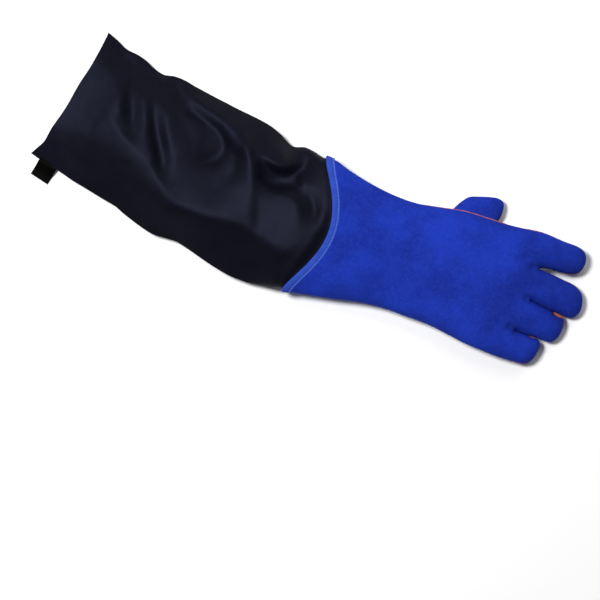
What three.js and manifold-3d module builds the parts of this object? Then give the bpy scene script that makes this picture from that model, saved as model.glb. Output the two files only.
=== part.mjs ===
// A right-hand leather welding gauntlet with a long cloth arm sleeve, lying palm down.
// +X runs from the sleeve's open mouth to the fingertips, +Y is the thumb's side, +Z is up from the floor.
// Lengths are millimetres and angles are degrees.
import * as THREE from "three";
import Module from "manifold-3d";

const wasm = await Module();
wasm.setup();

// Driving dimensions of the cloth sleeve
const SLEEVE_LENGTH = 328; // sewn seam to open mouth
const SLEEVE_HALF_WIDTH = 86; // half of the flattened tube
const SLEEVE_HEIGHT = 44; // floor to the crest of the tube at its middle
const CLOTH = 1.2;
const SLEEVE_LAP = 12; // sleeve end that is sewn inside the cuff
const MOUTH_BOW = 9; // how far the open edge dips in between its corners
const BELLY = 1.05; // over 1, so that the floor flattens the middle of the underside

// Driving dimensions of the leather glove
const CUFF_LENGTH = 150; // sleeve seam to wrist seam
const HAND_LENGTH = 135; // wrist seam to finger crotches
const FINGER_REACH = 65.5; // crotches to the middle fingertip, as the curled finger lies
const CUFF_HALF_WIDTH = 85;
const HAND_HALF_WIDTH = 76;
const FINGER_HALF_WIDTH = 18;
const CUFF_RISE = 28; // crest above the side seams
const HAND_RISE = 19;
const FINGER_RISE = 15;
const CUFF_SAG = 29; // belly below the side seams
const HAND_SAG = 15;
const FINGER_SAG = 13;
const ARCH_HEIGHT = 36; // side seams above the floor at the knuckles
const ARCH_TILT = 13; // extra seam height on the thumb's side, which the thumb lifts
const LEATHER = 2;
const CUFF_BOW = 31; // how far the back of the cuff's edge reaches towards the hand
const BELLY_BOW = 8; // the same under the cuff

// Driving dimensions of the thumb
const THUMB_HALF_WIDTH = 22;
const THUMB_RISE = 13;
const THUMB_SAG = 13;
const THUMB_REACH = 31; // thumb's far side beyond the palm's edge

// Driving dimensions of the trim
const BINDING_WIDTH = 9;
const BINDING_PROUD = 1.5; // binding that laps past the cuff's edge
const BINDING = 1.4;
const PATCH = 1.6;
const WELT = 1.2;
const WELT_PROUD = 1;
const TAB_LENGTH = 24;
const TAB_REACH = 20;
const TAB_THICKNESS = 3;
const TAB_SHARE = 0.92; // along the sleeve
const SEAM_GAP = 0.3; // clear between pieces that are sewn together

// Headings of the three stretches, anticlockwise from +X
const SLEEVE_TURN = -7.7;
const HAND_TURN = 3;
const MOUTH_TURN = -11.3;

// Sampling
const SIDE_STEPS = 12; // from one side seam over the top to the other
const FINGER_STEPS = 8;
const FINEST = 0.06; // smaller steps in a cut's edge are left out
const BOW_REACH = 150; // the cuff edge's bow fades out over this length on either side

// Sleeve sections. along: share of the length from the seam. left and right: shares of the half width.
// edge and top: shares of the height. lens: 1 for a section that is pinched flat at its sides, 0 for a round one.
const SLEEVE_ROWS = [
  { along: 0.03, left: 0.965, right: 1.02, edge: 0.52, top: 1.27, lens: 0.05 },
  { along: 0.09, left: 0.96, right: 1.085, edge: 0.46, top: 1.24, lens: 0.1 },
  { along: 0.135, left: 0.887, right: 1.136, edge: 0.42, top: 1.2, lens: 0.12 },
  { along: 0.165, left: 0.9, right: 1.155, edge: 0.4, top: 1.18, lens: 0.15 },
  { along: 0.2, left: 0.95, right: 1.172, edge: 0.38, top: 1.15, lens: 0.18 },
  { along: 0.27, left: 0.984, right: 1.163, edge: 0.36, top: 1.12, lens: 0.2 },
  { along: 0.41, left: 0.958, right: 1.107, edge: 0.33, top: 1.06, lens: 0.3 },
  { along: 0.455, left: 0.954, right: 1.14, edge: 0.32, top: 1.03, lens: 0.33 },
  { along: 0.5, left: 0.947, right: 1.177, edge: 0.3, top: 1, lens: 0.36 },
  { along: 0.6, left: 0.942, right: 1.13, edge: 0.27, top: 0.93, lens: 0.45 },
  { along: 0.65, left: 0.945, right: 1.087, edge: 0.26, top: 0.9, lens: 0.5 },
  { along: 0.69, left: 0.925, right: 1.083, edge: 0.25, top: 0.87, lens: 0.55 },
  { along: 0.73, left: 0.873, right: 1.077, edge: 0.24, top: 0.84, lens: 0.6 },
  { along: 0.77, left: 0.879, right: 1.071, edge: 0.22, top: 0.8, lens: 0.65 },
  { along: 0.82, left: 0.925, right: 1.066, edge: 0.2, top: 0.75, lens: 0.72 },
  { along: 0.86, left: 0.94, right: 1.05, edge: 0.18, top: 0.7, lens: 0.8 },
  { along: 0.91, left: 0.935, right: 1.036, edge: 0.16, top: 0.64, lens: 0.9 },
  { along: 0.955, left: 0.98, right: 1.03, edge: 0.145, top: 0.59, lens: 0.95 },
  { along: 1, left: 1.016, right: 1.015, edge: 0.14, top: 0.55, lens: 1 },
];

// Folds of the sleeve's upper face, each along a line. a0 to a1: shares of the length. s0 to s1: shares of the half
// width, + on the thumb's side. width: share of the half width. height: share of the sleeve's height, - for a dent.
const SLEEVE_FOLDS = [
  { name: "long diagonal ridge", a0: 0.89, s0: 0.12, a1: 0.55, s1: -0.5, width: 0.17, height: 0.13 },
  { name: "valley by the mouth", a0: 0.91, s0: 0.58, a1: 0.72, s1: 0, width: 0.15, height: -0.12 },
  { name: "short ridge", a0: 0.84, s0: 0.64, a1: 0.69, s1: 0, width: 0.13, height: 0.11 },
  { name: "middle crease", a0: 0.71, s0: 0.27, a1: 0.525, s1: -0.51, width: 0.12, height: -0.16 },
  { name: "wide dent", a0: 0.69, s0: 0.63, a1: 0.46, s1: 0.23, width: 0.25, height: -0.15 },
  { name: "full belly", a0: 0.45, s0: -0.45, a1: 0.33, s1: 0.3, width: 0.38, height: 0.16 },
  { name: "cross crease, upper", a0: 0.33, s0: 0.67, a1: 0.265, s1: 0.07, width: 0.1, height: -0.13 },
  { name: "cross crease, lower", a0: 0.265, s0: 0.07, a1: 0.19, s1: -0.54, width: 0.1, height: -0.13 },
  { name: "puff by the cuff", a0: 0.19, s0: 0, a1: 0.12, s1: -0.25, width: 0.3, height: 0.1 },
  { name: "pocket, outer", a0: 0.262, s0: 0.4, a1: 0.18, s1: 0.49, width: 0.16, height: -0.1 },
  { name: "pocket, inner", a0: 0.18, s0: 0.49, a1: 0.086, s1: 0.72, width: 0.16, height: -0.1 },
  { name: "puff over the pocket", a0: 0.25, s0: 0.66, a1: 0.17, s1: 0.8, width: 0.14, height: 0.08 },
  { name: "dip at the seam", a0: 0.06, s0: 0.5, a1: 0.07, s1: -0.05, width: 0.14, height: -0.12 },
];

// Stations along the glove: 0 at the cuff's sewn edge, 1 at the wrist seam, 2 at the crotches, 3 at the middle tip.
// Widths, rise and sag are shares of the size at that station.
const GLOVE_ROWS = [
  { station: 0, left: 1, right: 1, rise: 1, sag: 1 },
  { station: 0.08, left: 0.996, right: 0.99, rise: 1, sag: 1 },
  { station: 0.2, left: 0.94, right: 0.968, rise: 1, sag: 1 },
  { station: 0.4, left: 0.872, right: 0.925, rise: 1.02, sag: 1.1 },
  { station: 0.6, left: 0.835, right: 0.87, rise: 1.02, sag: 1.15 },
  { station: 0.8, left: 0.845, right: 0.855, rise: 1.02, sag: 1.15 },
  { station: 1, left: 0.92, right: 0.886, rise: 1.06, sag: 1.08 },
  { station: 1.2, left: 0.974, right: 0.895, rise: 1.06, sag: 0.95 },
  { station: 1.4, left: 0.98, right: 0.945, rise: 1.05, sag: 0.95 },
  { station: 1.6, left: 0.987, right: 1, rise: 1.02, sag: 0.95 },
  { station: 1.8, left: 1.022, right: 1.022, rise: 0.95, sag: 0.95 },
  { station: 1.92, left: 1.035, right: 1.025, rise: 0.78, sag: 0.8 },
  { station: 2, left: 1.025, right: 1.02, rise: 0.42, sag: 0.45 },
];

// Height of the side seams over the floor. mid: share of the arch height on the glove's axis.
// tilt: share of the tilt, gained from the axis out to the thumb's side and lost on the other side.
const SEAM_ROWS = [
  { station: 0, mid: 0.75, tilt: 0 },
  { station: 0.4, mid: 0.73, tilt: 0.08 },
  { station: 0.73, mid: 0.76, tilt: 0.4 },
  { station: 1, mid: 0.84, tilt: 0.8 },
  { station: 1.37, mid: 0.95, tilt: 1 },
  { station: 1.7, mid: 0.97, tilt: 0.93 },
  { station: 2, mid: 0.81, tilt: 0.7 },
  { station: 2.47, mid: 0.52, tilt: 0.5 },
  { station: 2.76, mid: 0.36, tilt: 0.27 },
  { station: 3, mid: 0.29, tilt: 0.08 },
];

// root: station of the finger's buried end. y0 and y1: shares of the hand's half width at the root and at the tip.
// reach: share of the finger reach beyond the crotches. width: share of the finger's half width.
const FINGERS = [
  { name: "index", root: 1.62, y0: 0.75, y1: 0.796, reach: 0.8, width: 1 },
  { name: "middle", root: 1.66, y0: 0.224, y1: 0.19, reach: 1, width: 1.12 },
  { name: "ring", root: 1.64, y0: -0.285, y1: -0.316, reach: 0.79, width: 0.95 },
  { name: "little", root: 1.6, y0: -0.763, y1: -0.787, reach: 0.48, width: 0.95 },
];

// Shape of each finger from its root to its tip. Shares of its length, half width and height.
const FINGER_ROWS = [
  { along: 0, width: 0.9, height: 0.5 },
  { along: 0.18, width: 0.97, height: 0.85 },
  { along: 0.36, width: 1, height: 1 },
  { along: 0.66, width: 1, height: 0.98 },
  { along: 0.78, width: 0.98, height: 0.95 },
  { along: 0.87, width: 0.9, height: 0.87 },
  { along: 0.935, width: 0.74, height: 0.7 },
  { along: 0.98, width: 0.5, height: 0.46 },
  { along: 1, width: 0.26, height: 0.2 },
];

// The thumb's middle line, from inside the palm to the blunt tip, under the palm's edge.
// y counts from the palm's edge in shares of the thumb's reach. lift: share of the thumb's sag above the floor.
const THUMB_ROWS = [
  { station: 0.88, y: -1.5, lift: 2.15, width: 0.8, height: 0.8 },
  { station: 1.0, y: -0.95, lift: 1.75, width: 0.95, height: 0.95 },
  { station: 1.12, y: -0.44, lift: 1.28, width: 1, height: 1 },
  { station: 1.23, y: -0.05, lift: 1.04, width: 1, height: 1 },
  { station: 1.33, y: 0.17, lift: 1, width: 1, height: 0.97 },
  { station: 1.41, y: 0.27, lift: 0.96, width: 0.97, height: 0.92 },
  { station: 1.48, y: 0.33, lift: 0.92, width: 0.86, height: 0.82 },
  { station: 1.525, y: 0.36, lift: 0.86, width: 0.62, height: 0.6 },
  { station: 1.55, y: 0.375, lift: 0.8, width: 0.3, height: 0.25 },
];

// Outline of the palm patch: stations, and shares of the hand's half width.
const PATCH_OUTLINE = [
  { station: 1.24, y: 0.013 },
  { station: 1.49, y: -0.1 },
  { station: 1.75, y: -0.09 },
  { station: 1.86, y: 0 },
  { station: 1.9, y: 0.24 },
  { station: 1.93, y: 0.6 },
  { station: 1.93, y: 0.96 },
  { station: 1.8, y: 0.88 },
  { station: 1.65, y: 0.855 },
  { station: 1.55, y: 0.9 },
  { station: 1.48, y: 1.1 },
  { station: 1.35, y: 1.1 },
  { station: 1.12, y: 0.9 },
  { station: 1.03, y: 0.75 },
  { station: 1.012, y: 0.08 },
];

// The fronts of the middle and ring fingers are cut as one piece, from this station.
const FRONT_STATION = 1.88;
const FRONT_LEFT = 0.507; // shares of the hand's half width, in the gaps beside the two fingers
const FRONT_RIGHT = -0.5434;

const radians = THREE.MathUtils.degToRad;
const { lerp, clamp, smoothstep } = THREE.MathUtils;

// A value from a table, by smooth interpolation of one column over another.
function look(rows, key, column, at) {
  const last = rows.length - 1;
  if (at <= rows[0][key]) return rows[0][column];
  if (at >= rows[last][key]) return rows[last][column];
  const i = rows.findIndex((row) => row[key] > at) - 1;
  const slope = (k) => {
    const a = rows[Math.max(k - 1, 0)];
    const b = rows[Math.min(k + 1, last)];
    return (b[column] - a[column]) / (b[key] - a[key]);
  };
  const [from, to] = [rows[i], rows[i + 1]];
  const span = to[key] - from[key];
  const t = (at - from[key]) / span;
  const hold = t * t * (3 - 2 * t);
  const start = t * (1 - t) * (1 - t) * span;
  const end = t * t * (t - 1) * span;
  return lerp(from[column], to[column], hold) + slope(i) * start + slope(i + 1) * end;
}

// Millimetres along the glove's axis at a station, and back.
const REACHES = [CUFF_LENGTH, HAND_LENGTH, FINGER_REACH];
function alongOf(station) {
  return REACHES.reduce((sum, reach, i) => sum + reach * clamp(station - i, i ? 0 : -9, i < 2 ? 1 : 9), 0);
}
function stationOf(along) {
  if (along < CUFF_LENGTH) return along / CUFF_LENGTH;
  if (along < CUFF_LENGTH + HAND_LENGTH) return 1 + (along - CUFF_LENGTH) / HAND_LENGTH;
  return 2 + (along - CUFF_LENGTH - HAND_LENGTH) / FINGER_REACH;
}

// Height of the glove's side seams, spread as one smooth sheet over its whole plan.
function seamHeight(x, y) {
  const station = stationOf(x);
  const tilt = (ARCH_TILT * look(SEAM_ROWS, "station", "tilt", station) * y) / HAND_HALF_WIDTH;
  return ARCH_HEIGHT * look(SEAM_ROWS, "station", "mid", station) + tilt;
}

// Share of the crest's height at s, from -1 at one side seam to 1 at the other.
function crown(s, roundness, lens = 0) {
  return Math.pow(Math.max(0, 1 - Math.pow(Math.abs(s), roundness)), lerp(0.5, 1, lens));
}

// A ring of points: over the top from the thumb's side to the far side, and back underneath.
function ringOf(point, steps = SIDE_STEPS) {
  const ring = [];
  for (let i = 0; i <= steps; i++) ring.push(point(Math.cos((Math.PI * i) / steps), 1));
  for (let i = steps - 1; i > 0; i--) ring.push(point(Math.cos((Math.PI * i) / steps), -1));
  return ring;
}

function toSolid(points, faces) {
  const vertProperties = new Float32Array(points.flatMap((p) => [p.x, p.y, p.z]));
  return new wasm.Manifold(new wasm.Mesh({ numProp: 3, vertProperties, triVerts: new Uint32Array(faces) }));
}

// A closed solid through rings of equally many points, capped by a fan at each end.
function loft(rings) {
  const count = rings[0].length;
  const middle = (ring) => ring.reduce((sum, p) => sum.add(p), new THREE.Vector3()).divideScalar(count);
  const points = [...rings.flat(), middle(rings[0]), middle(rings.at(-1))];
  const [firstCap, lastCap] = [points.length - 2, points.length - 1];
  const lastRing = (rings.length - 1) * count;
  const faces = [];
  for (let j = 0; j < count; j++) {
    const k = (j + 1) % count;
    for (let a = 0; a < lastRing; a += count)
      faces.push(a + j, a + count + j, a + count + k, a + j, a + count + k, a + k);
    faces.push(firstCap, j, k, lastCap, lastRing + k, lastRing + j);
  }
  const solid = toSolid(points, faces);
  return solid.volume() > 0 ? solid : toSolid(points, faces.reverse()); // faces outwards whichever way the rings run
}

const union = (solids) => solids.reduce((whole, solid) => whole.add(solid));

// The largest body of a cut, without the slivers that a cut can leave.
function main(solid) {
  return solid.decompose().reduce((a, b) => (b.volume() > a.volume() ? b : a)).simplify(FINEST);
}

// The glove's body

const BINDING_STACK = SEAM_GAP + BINDING; // what lies between the cuff's underside and the floor
const BINDING_END = BINDING_WIDTH - BINDING_PROUD;

// The cuff's edge is bowed, and the bow fades away from it. side is 1 on the back and -1 under it.
function bowAt(distance, s, side) {
  const bow = side > 0 ? CUFF_BOW : BELLY_BOW;
  return bow * (1 - s * s) * clamp(1 - distance / BOW_REACH, 0, 1);
}

// Sizes that the glove rows share out, from the cuff's edge to the wrist and on to the crotches.
const sizeAt = (station, cuff, hand) => lerp(cuff, hand, clamp(station, 0, 1));

function bodyHalf(station, s, grow) {
  const share = look(GLOVE_ROWS, "station", s > 0 ? "left" : "right", station);
  return share * sizeAt(station, CUFF_HALF_WIDTH, HAND_HALF_WIDTH) + grow;
}

function bodyPoint(station, s, side, grow) {
  const along = alongOf(station);
  const y = bodyHalf(station, s, grow) * s;
  const seam = seamHeight(along, y);
  const share = look(GLOVE_ROWS, "station", side > 0 ? "rise" : "sag", station);
  const size = side > 0 ? sizeAt(station, CUFF_RISE, HAND_RISE) : sizeAt(station, CUFF_SAG, HAND_SAG);
  const z = seam + side * (share * size + grow) * crown(s, side > 0 ? 2.4 : 3);
  return new THREE.Vector3(along + bowAt(along, s, side), y, Math.max(z, BINDING_STACK - grow));
}

const bodyRing = (station, grow) => ringOf((s, side) => bodyPoint(station, s, side, grow));
const shifted = (ring, dx) => ring.map((p) => new THREE.Vector3(p.x + dx, p.y, p.z));
const LAP_STATIONS = [0, BINDING_END / CUFF_LENGTH, SLEEVE_LAP / CUFF_LENGTH];
const BODY_STATIONS = [...LAP_STATIONS, ...GLOVE_ROWS.map((row) => row.station).filter((at) => at > 0.1)];

function bodySolid(grow) {
  const stations = BODY_STATIONS.map((at) => (grow < 0 && at === 2 ? stationOf(alongOf(2) + grow) : at));
  const rings = stations.map((at) => bodyRing(at, grow));
  if (grow < 0) rings.unshift(shifted(rings[0], -CUFF_BOW));
  return loft(rings);
}

// The fingers

function fingerRings(finger, grow, ringAt) {
  const root = new THREE.Vector2(alongOf(finger.root), finger.y0 * HAND_HALF_WIDTH);
  const tip = new THREE.Vector2(alongOf(2) + finger.reach * FINGER_REACH, finger.y1 * HAND_HALF_WIDTH);
  const length = root.distanceTo(tip) + grow;
  const ahead = tip.clone().sub(root).normalize();
  return FINGER_ROWS.map((row) => {
    const half = row.width * (finger.width * FINGER_HALF_WIDTH + grow);
    const placeAt = (s) => {
      const x = root.x + ahead.x * row.along * length - ahead.y * half * s;
      const y = root.y + ahead.y * row.along * length + ahead.x * half * s;
      return [x, y];
    };
    return ringAt(placeAt, row.height);
  });
}

function fingerSolid(finger, grow) {
  const ringAt = (placeAt, share) =>
    ringOf((s, side) => {
      const [x, y] = placeAt(s);
      const size = share * ((side > 0 ? FINGER_RISE : FINGER_SAG) + grow);
      return new THREE.Vector3(x, y, Math.max(seamHeight(x, y) + side * size * crown(s, 2.2), -grow));
    }, FINGER_STEPS);
  return loft(fingerRings(finger, grow, ringAt));
}

const handSolid = (grow) => union([bodySolid(grow), ...FINGERS.map((finger) => fingerSolid(finger, grow))]);

// Everything under the sheet that the side seams lie in, moved up by an offset

const SHEET_MARGIN = 20;
const SHEET_STEP = 18;
const FAR = 200;

function underSheet(offset) {
  const half = CUFF_HALF_WIDTH + SHEET_MARGIN;
  const rings = [];
  for (let x = -SHEET_MARGIN; x < alongOf(3) + SHEET_MARGIN + SHEET_STEP; x += SHEET_STEP) {
    const onSheet = (y) => new THREE.Vector3(x, y, seamHeight(x, y) + offset);
    rings.push([onSheet(half), onSheet(-half), new THREE.Vector3(x, -half, -FAR), new THREE.Vector3(x, half, -FAR)]);
  }
  return loft(rings);
}

// The glove's plan as an upright block, for the strip of welt in the side seam

function planBlock(grow) {
  const upright = (left, right) => [
    new THREE.Vector3(...left, FAR),
    new THREE.Vector3(...right, FAR),
    new THREE.Vector3(...right, -FAR),
    new THREE.Vector3(...left, -FAR),
  ];
  const stations = BODY_STATIONS.map((at) => (at === 2 ? stationOf(alongOf(2) + grow) : at));
  const bodyRings = stations.map((at) =>
    upright([alongOf(at), bodyHalf(at, 1, grow)], [alongOf(at), -bodyHalf(at, -1, grow)]),
  );
  const fingers = FINGERS.map((finger) => loft(fingerRings(finger, grow, (placeAt) => upright(placeAt(1), placeAt(-1)))));
  return union([loft(bodyRings), ...fingers]);
}

// The thumb

function thumbSolid(grow) {
  const edgeAt = (station) => look(GLOVE_ROWS, "station", "left", station) * HAND_HALF_WIDTH;
  const line = THUMB_ROWS.map(
    (row) => new THREE.Vector3(alongOf(row.station), edgeAt(row.station) + row.y * THUMB_REACH, row.lift * THUMB_SAG),
  );
  const end = line.length - 1;
  const rings = THUMB_ROWS.map((row, i) => {
    const ahead = line[Math.min(i + 1, end)].clone().sub(line[Math.max(i - 1, 0)]).setZ(0).normalize();
    const half = row.width * (THUMB_HALF_WIDTH + grow);
    const centre = line[i].clone().addScaledVector(ahead, i === end ? grow : 0);
    return ringOf((s, side) => {
      const size = row.height * ((side > 0 ? THUMB_RISE : THUMB_SAG) + grow);
      const x = centre.x - ahead.y * half * s;
      const y = centre.y + ahead.x * half * s;
      return new THREE.Vector3(x, y, Math.max(centre.z + side * size * crown(s, 2.2), -grow));
    }, FINGER_STEPS);
  });
  return loft(rings);
}

// The sleeve

const onTurn = (x, y, turn) => new THREE.Vector2(x, y).rotateAround(new THREE.Vector2(), radians(turn));

function foldHeight(along, share) {
  const sum = SLEEVE_FOLDS.reduce((total, fold) => {
    const line = new THREE.Vector2((fold.a1 - fold.a0) * SLEEVE_LENGTH, (fold.s1 - fold.s0) * SLEEVE_HALF_WIDTH);
    const here = new THREE.Vector2((along - fold.a0) * SLEEVE_LENGTH, (share - fold.s0) * SLEEVE_HALF_WIDTH);
    const near = line.clone().multiplyScalar(clamp(here.dot(line) / line.lengthSq(), 0, 1));
    const away = here.distanceTo(near) / (fold.width * SLEEVE_HALF_WIDTH);
    return total + fold.height * Math.exp(-away * away);
  }, 0);
  return SLEEVE_HEIGHT * sum * (1 - Math.pow(share, 6));
}

function sleevePoint(along, s, side, grow) {
  const row = (column) => look(SLEEVE_ROWS, "along", column, along);
  const outer = row(s > 0 ? "left" : "right") * SLEEVE_HALF_WIDTH;
  const edge = row("edge") * SLEEVE_HEIGHT;
  const rise = row("top") * SLEEVE_HEIGHT - edge;
  const pinch = Math.min((2.4 * rise) / outer, (4 * edge) / outer); // slope of a flattened tube beside its crease
  const half = outer + lerp(grow, grow / Math.sin(Math.atan(pinch)), row("lens"));
  const y = half * s;
  const fold = side > 0 ? foldHeight(along, s) : 0;
  const top = edge + (rise + grow) * crown(s, 2.4, row("lens")) + fold;
  const z = side > 0 ? top : Math.max(edge - (BELLY * edge + grow) * crown(s, 4, row("lens")), -grow);
  const distance = along * SLEEVE_LENGTH;
  const mouth = MOUTH_BOW * (1 - s * s) * smoothstep(along, 0.8, 1);
  const turn = lerp(HAND_TURN, MOUTH_TURN, smoothstep(along, 0, 1));
  const centre = onTurn(-distance, 0, SLEEVE_TURN);
  const at = onTurn(bowAt(distance, s, side) + mouth, y, turn).add(centre);
  return new THREE.Vector3(at.x, at.y, z);
}

// Its end under the cuff follows the glove's inside.
function lapRing(station, grow) {
  return bodyRing(station, grow - LEATHER - SEAM_GAP).map((p) => {
    const at = onTurn(p.x, p.y, HAND_TURN);
    return new THREE.Vector3(at.x, at.y, p.z);
  });
}

function sleeveSolid(grow) {
  const past = (-2 * BINDING_PROUD) / CUFF_LENGTH; // it keeps that width until it is clear of the binding
  const rings = [...LAP_STATIONS].reverse().concat(past).map((at) => lapRing(at, grow));
  SLEEVE_ROWS.forEach((row) => rings.push(ringOf((s, side) => sleevePoint(row.along, s, side, grow))));
  if (grow < 0) {
    rings.unshift(shifted(rings[0], CUFF_BOW));
    rings.push(shifted(rings.at(-1), -CUFF_BOW));
  }
  return loft(rings.reverse());
}

// Cutting tools in the glove's own frame

const block = (from, to) =>
  wasm.Manifold.cube([0, 1, 2].map((i) => to[i] - from[i])).translate(from);
const beforeX = (x) => block([-FAR, -FAR, -FAR], [x, FAR, FAR]);
const afterX = (x) => block([x, -FAR, -FAR], [3 * FAR, FAR, FAR]);

// Pieces of the glove, in its own frame

const seamHold = WELT / 2 + SEAM_GAP;
const belowSeam = underSheet(-seamHold);
const weltSlab = underSheet(WELT / 2).subtract(underSheet(-WELT / 2));

const hollow = handSolid(-LEATHER);
const shell = handSolid(0).subtract(hollow);
const thumbOuter = thumbSolid(0);
const thumbClear = thumbSolid(SEAM_GAP);
const wrist = alongOf(1);

const backPanel = shell.subtract(underSheet(seamHold));
const front = shell.intersect(belowSeam).subtract(thumbClear);
const cuffFront = front.intersect(beforeX(wrist - seamHold));

const frontBlock = (grow) =>
  block(
    [alongOf(FRONT_STATION) - grow, FRONT_RIGHT * HAND_HALF_WIDTH - grow, -FAR],
    [alongOf(3) + FINGER_REACH, FRONT_LEFT * HAND_HALF_WIDTH + grow, FAR],
  );
const palmSide = front.intersect(afterX(wrist + seamHold));
const palmPanel = palmSide.subtract(frontBlock(SEAM_GAP / 2));
const fingerFronts = palmSide.intersect(frontBlock(-SEAM_GAP / 2));

const thumb = thumbOuter.subtract(thumbSolid(-LEATHER)).subtract(hollow);

const patchPlan = PATCH_OUTLINE.map((at) => [alongOf(at.station), at.y * HAND_HALF_WIDTH]);
const patchBlock = wasm.Manifold.extrude([patchPlan], 2 * FAR).translate([0, 0, -FAR]);
const palmPatch = handSolid(SEAM_GAP + PATCH)
  .subtract(handSolid(SEAM_GAP))
  .intersect(belowSeam)
  .intersect(patchBlock)
  .subtract(thumbClear);

const seamWelt = planBlock(WELT_PROUD)
  .subtract(planBlock(-LEATHER))
  .intersect(weltSlab)
  .intersect(afterX(BINDING_END + SEAM_GAP));

const wristWelt = handSolid(WELT_PROUD)
  .subtract(hollow)
  .intersect(belowSeam)
  .intersect(block([wrist - WELT / 2, -FAR, -FAR], [wrist + WELT / 2, FAR, FAR]))
  .subtract(thumbClear);

const bandSolid = (grow, reach) => {
  const rings = [-BINDING_PROUD, 0, BINDING_END].map((along) => bodyRing(along / CUFF_LENGTH, grow));
  if (reach) {
    rings.unshift(shifted(rings[0], -reach));
    rings.push(shifted(rings.at(-1), reach));
  }
  return loft(rings);
};
const cuffBinding = bandSolid(BINDING_STACK, 0).subtract(bandSolid(SEAM_GAP, CUFF_BOW));

// Pieces of the sleeve, in the row's frame

const sleeve = sleeveSolid(0).subtract(sleeveSolid(-CLOTH));

// The tab leaves the far side of the mouth at the height of the tube's crease, and its end lies on the floor.
function tabSolid() {
  const root = sleevePoint(TAB_SHARE, -1, 1, 0);
  const buried = TAB_THICKNESS;
  const rings = [
    { out: -buried, z: root.z },
    { out: TAB_REACH * 0.15, z: root.z },
    { out: TAB_REACH * 0.6, z: TAB_THICKNESS / 2 },
    { out: TAB_REACH, z: TAB_THICKNESS / 2 },
  ].map(({ out, z }) =>
    [
      [1, 1],
      [-1, 1],
      [-1, -1],
      [1, -1],
    ].map(([sx, sz]) => {
      const at = onTurn((sx * TAB_LENGTH) / 2, -out, SLEEVE_TURN);
      return new THREE.Vector3(root.x + at.x, root.y + at.y, z + (sz * TAB_THICKNESS) / 2);
    }),
  );
  return loft(rings);
}
const sleeveTab = main(tabSolid().subtract(sleeveSolid(SEAM_GAP)));

// The assembly

const LEATHER_BLUE = 0x2a44b8;
const PIECES = [
  { name: "sleeve", solid: sleeve, turn: 0, color: 0x1c1d2a, roughness: 0.95 },
  { name: "sleeve_tab", solid: sleeveTab, turn: 0, color: 0x1c1d2a, roughness: 0.95 },
  { name: "cuff_binding", solid: cuffBinding, turn: HAND_TURN, color: 0x3f62d0, roughness: 0.85 },
  { name: "back_panel", solid: backPanel, turn: HAND_TURN, color: LEATHER_BLUE, roughness: 0.9 },
  { name: "cuff_front", solid: cuffFront, turn: HAND_TURN, color: LEATHER_BLUE, roughness: 0.9 },
  { name: "palm_panel", solid: palmPanel, turn: HAND_TURN, color: LEATHER_BLUE, roughness: 0.9 },
  { name: "finger_fronts", solid: fingerFronts, turn: HAND_TURN, color: LEATHER_BLUE, roughness: 0.9 },
  { name: "thumb", solid: thumb, turn: HAND_TURN, color: LEATHER_BLUE, roughness: 0.9 },
  { name: "palm_patch", solid: palmPatch, turn: HAND_TURN, color: 0xe1a02c, roughness: 0.9 },
  { name: "seam_welt", solid: seamWelt, turn: HAND_TURN, color: 0xc8694f, roughness: 0.8 },
  { name: "wrist_welt", solid: wristWelt, turn: HAND_TURN, color: 0xc8694f, roughness: 0.8 },
];

function toMesh({ name, solid, color, roughness }) {
  const { vertProperties, triVerts, numProp } = solid.getMesh();
  const geometry = new THREE.BufferGeometry();
  geometry.setAttribute("position", new THREE.InterleavedBufferAttribute(new THREE.InterleavedBuffer(vertProperties, numProp), 3, 0));
  geometry.setIndex(new THREE.BufferAttribute(triVerts, 1));
  const mesh = new THREE.Mesh(geometry, new THREE.MeshStandardMaterial({ color, roughness }));
  mesh.name = name;
  return mesh;
}

// The part stands with the middle of its plan over the origin and its lowest point on the floor.
const placed = PIECES.map((piece) => ({ ...piece, solid: main(piece.solid).rotate([0, 0, piece.turn]) }));
const boxes = placed.map(({ solid }) => solid.boundingBox());
const low = [0, 1, 2].map((i) => Math.min(...boxes.map((box) => box.min[i])));
const high = [0, 1, 2].map((i) => Math.max(...boxes.map((box) => box.max[i])));
const home = [-(low[0] + high[0]) / 2, -(low[1] + high[1]) / 2, -low[2]];

const gauntlet = new THREE.Group();
gauntlet.name = "welding_gauntlet";
placed.forEach((piece) => gauntlet.add(toMesh({ ...piece, solid: piece.solid.translate(home) })));

export default gauntlet;
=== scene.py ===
# %% [markdown]
# A welding gauntlet is two things sewn together: a stiff glove of split leather, and a long soft sleeve of
# flame-resistant cloth. This lesson dresses the solid model of one, a right-hand glove that lies palm down.
# The solids are loaded first. Every piece made here is put in the same place and rides on the same body as
# the solid it covers.

# %% Load the frame
import math

import bpy
import numpy as np
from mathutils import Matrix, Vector, noise
from mathutils.geometry import delaunay_2d_cdt


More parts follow.
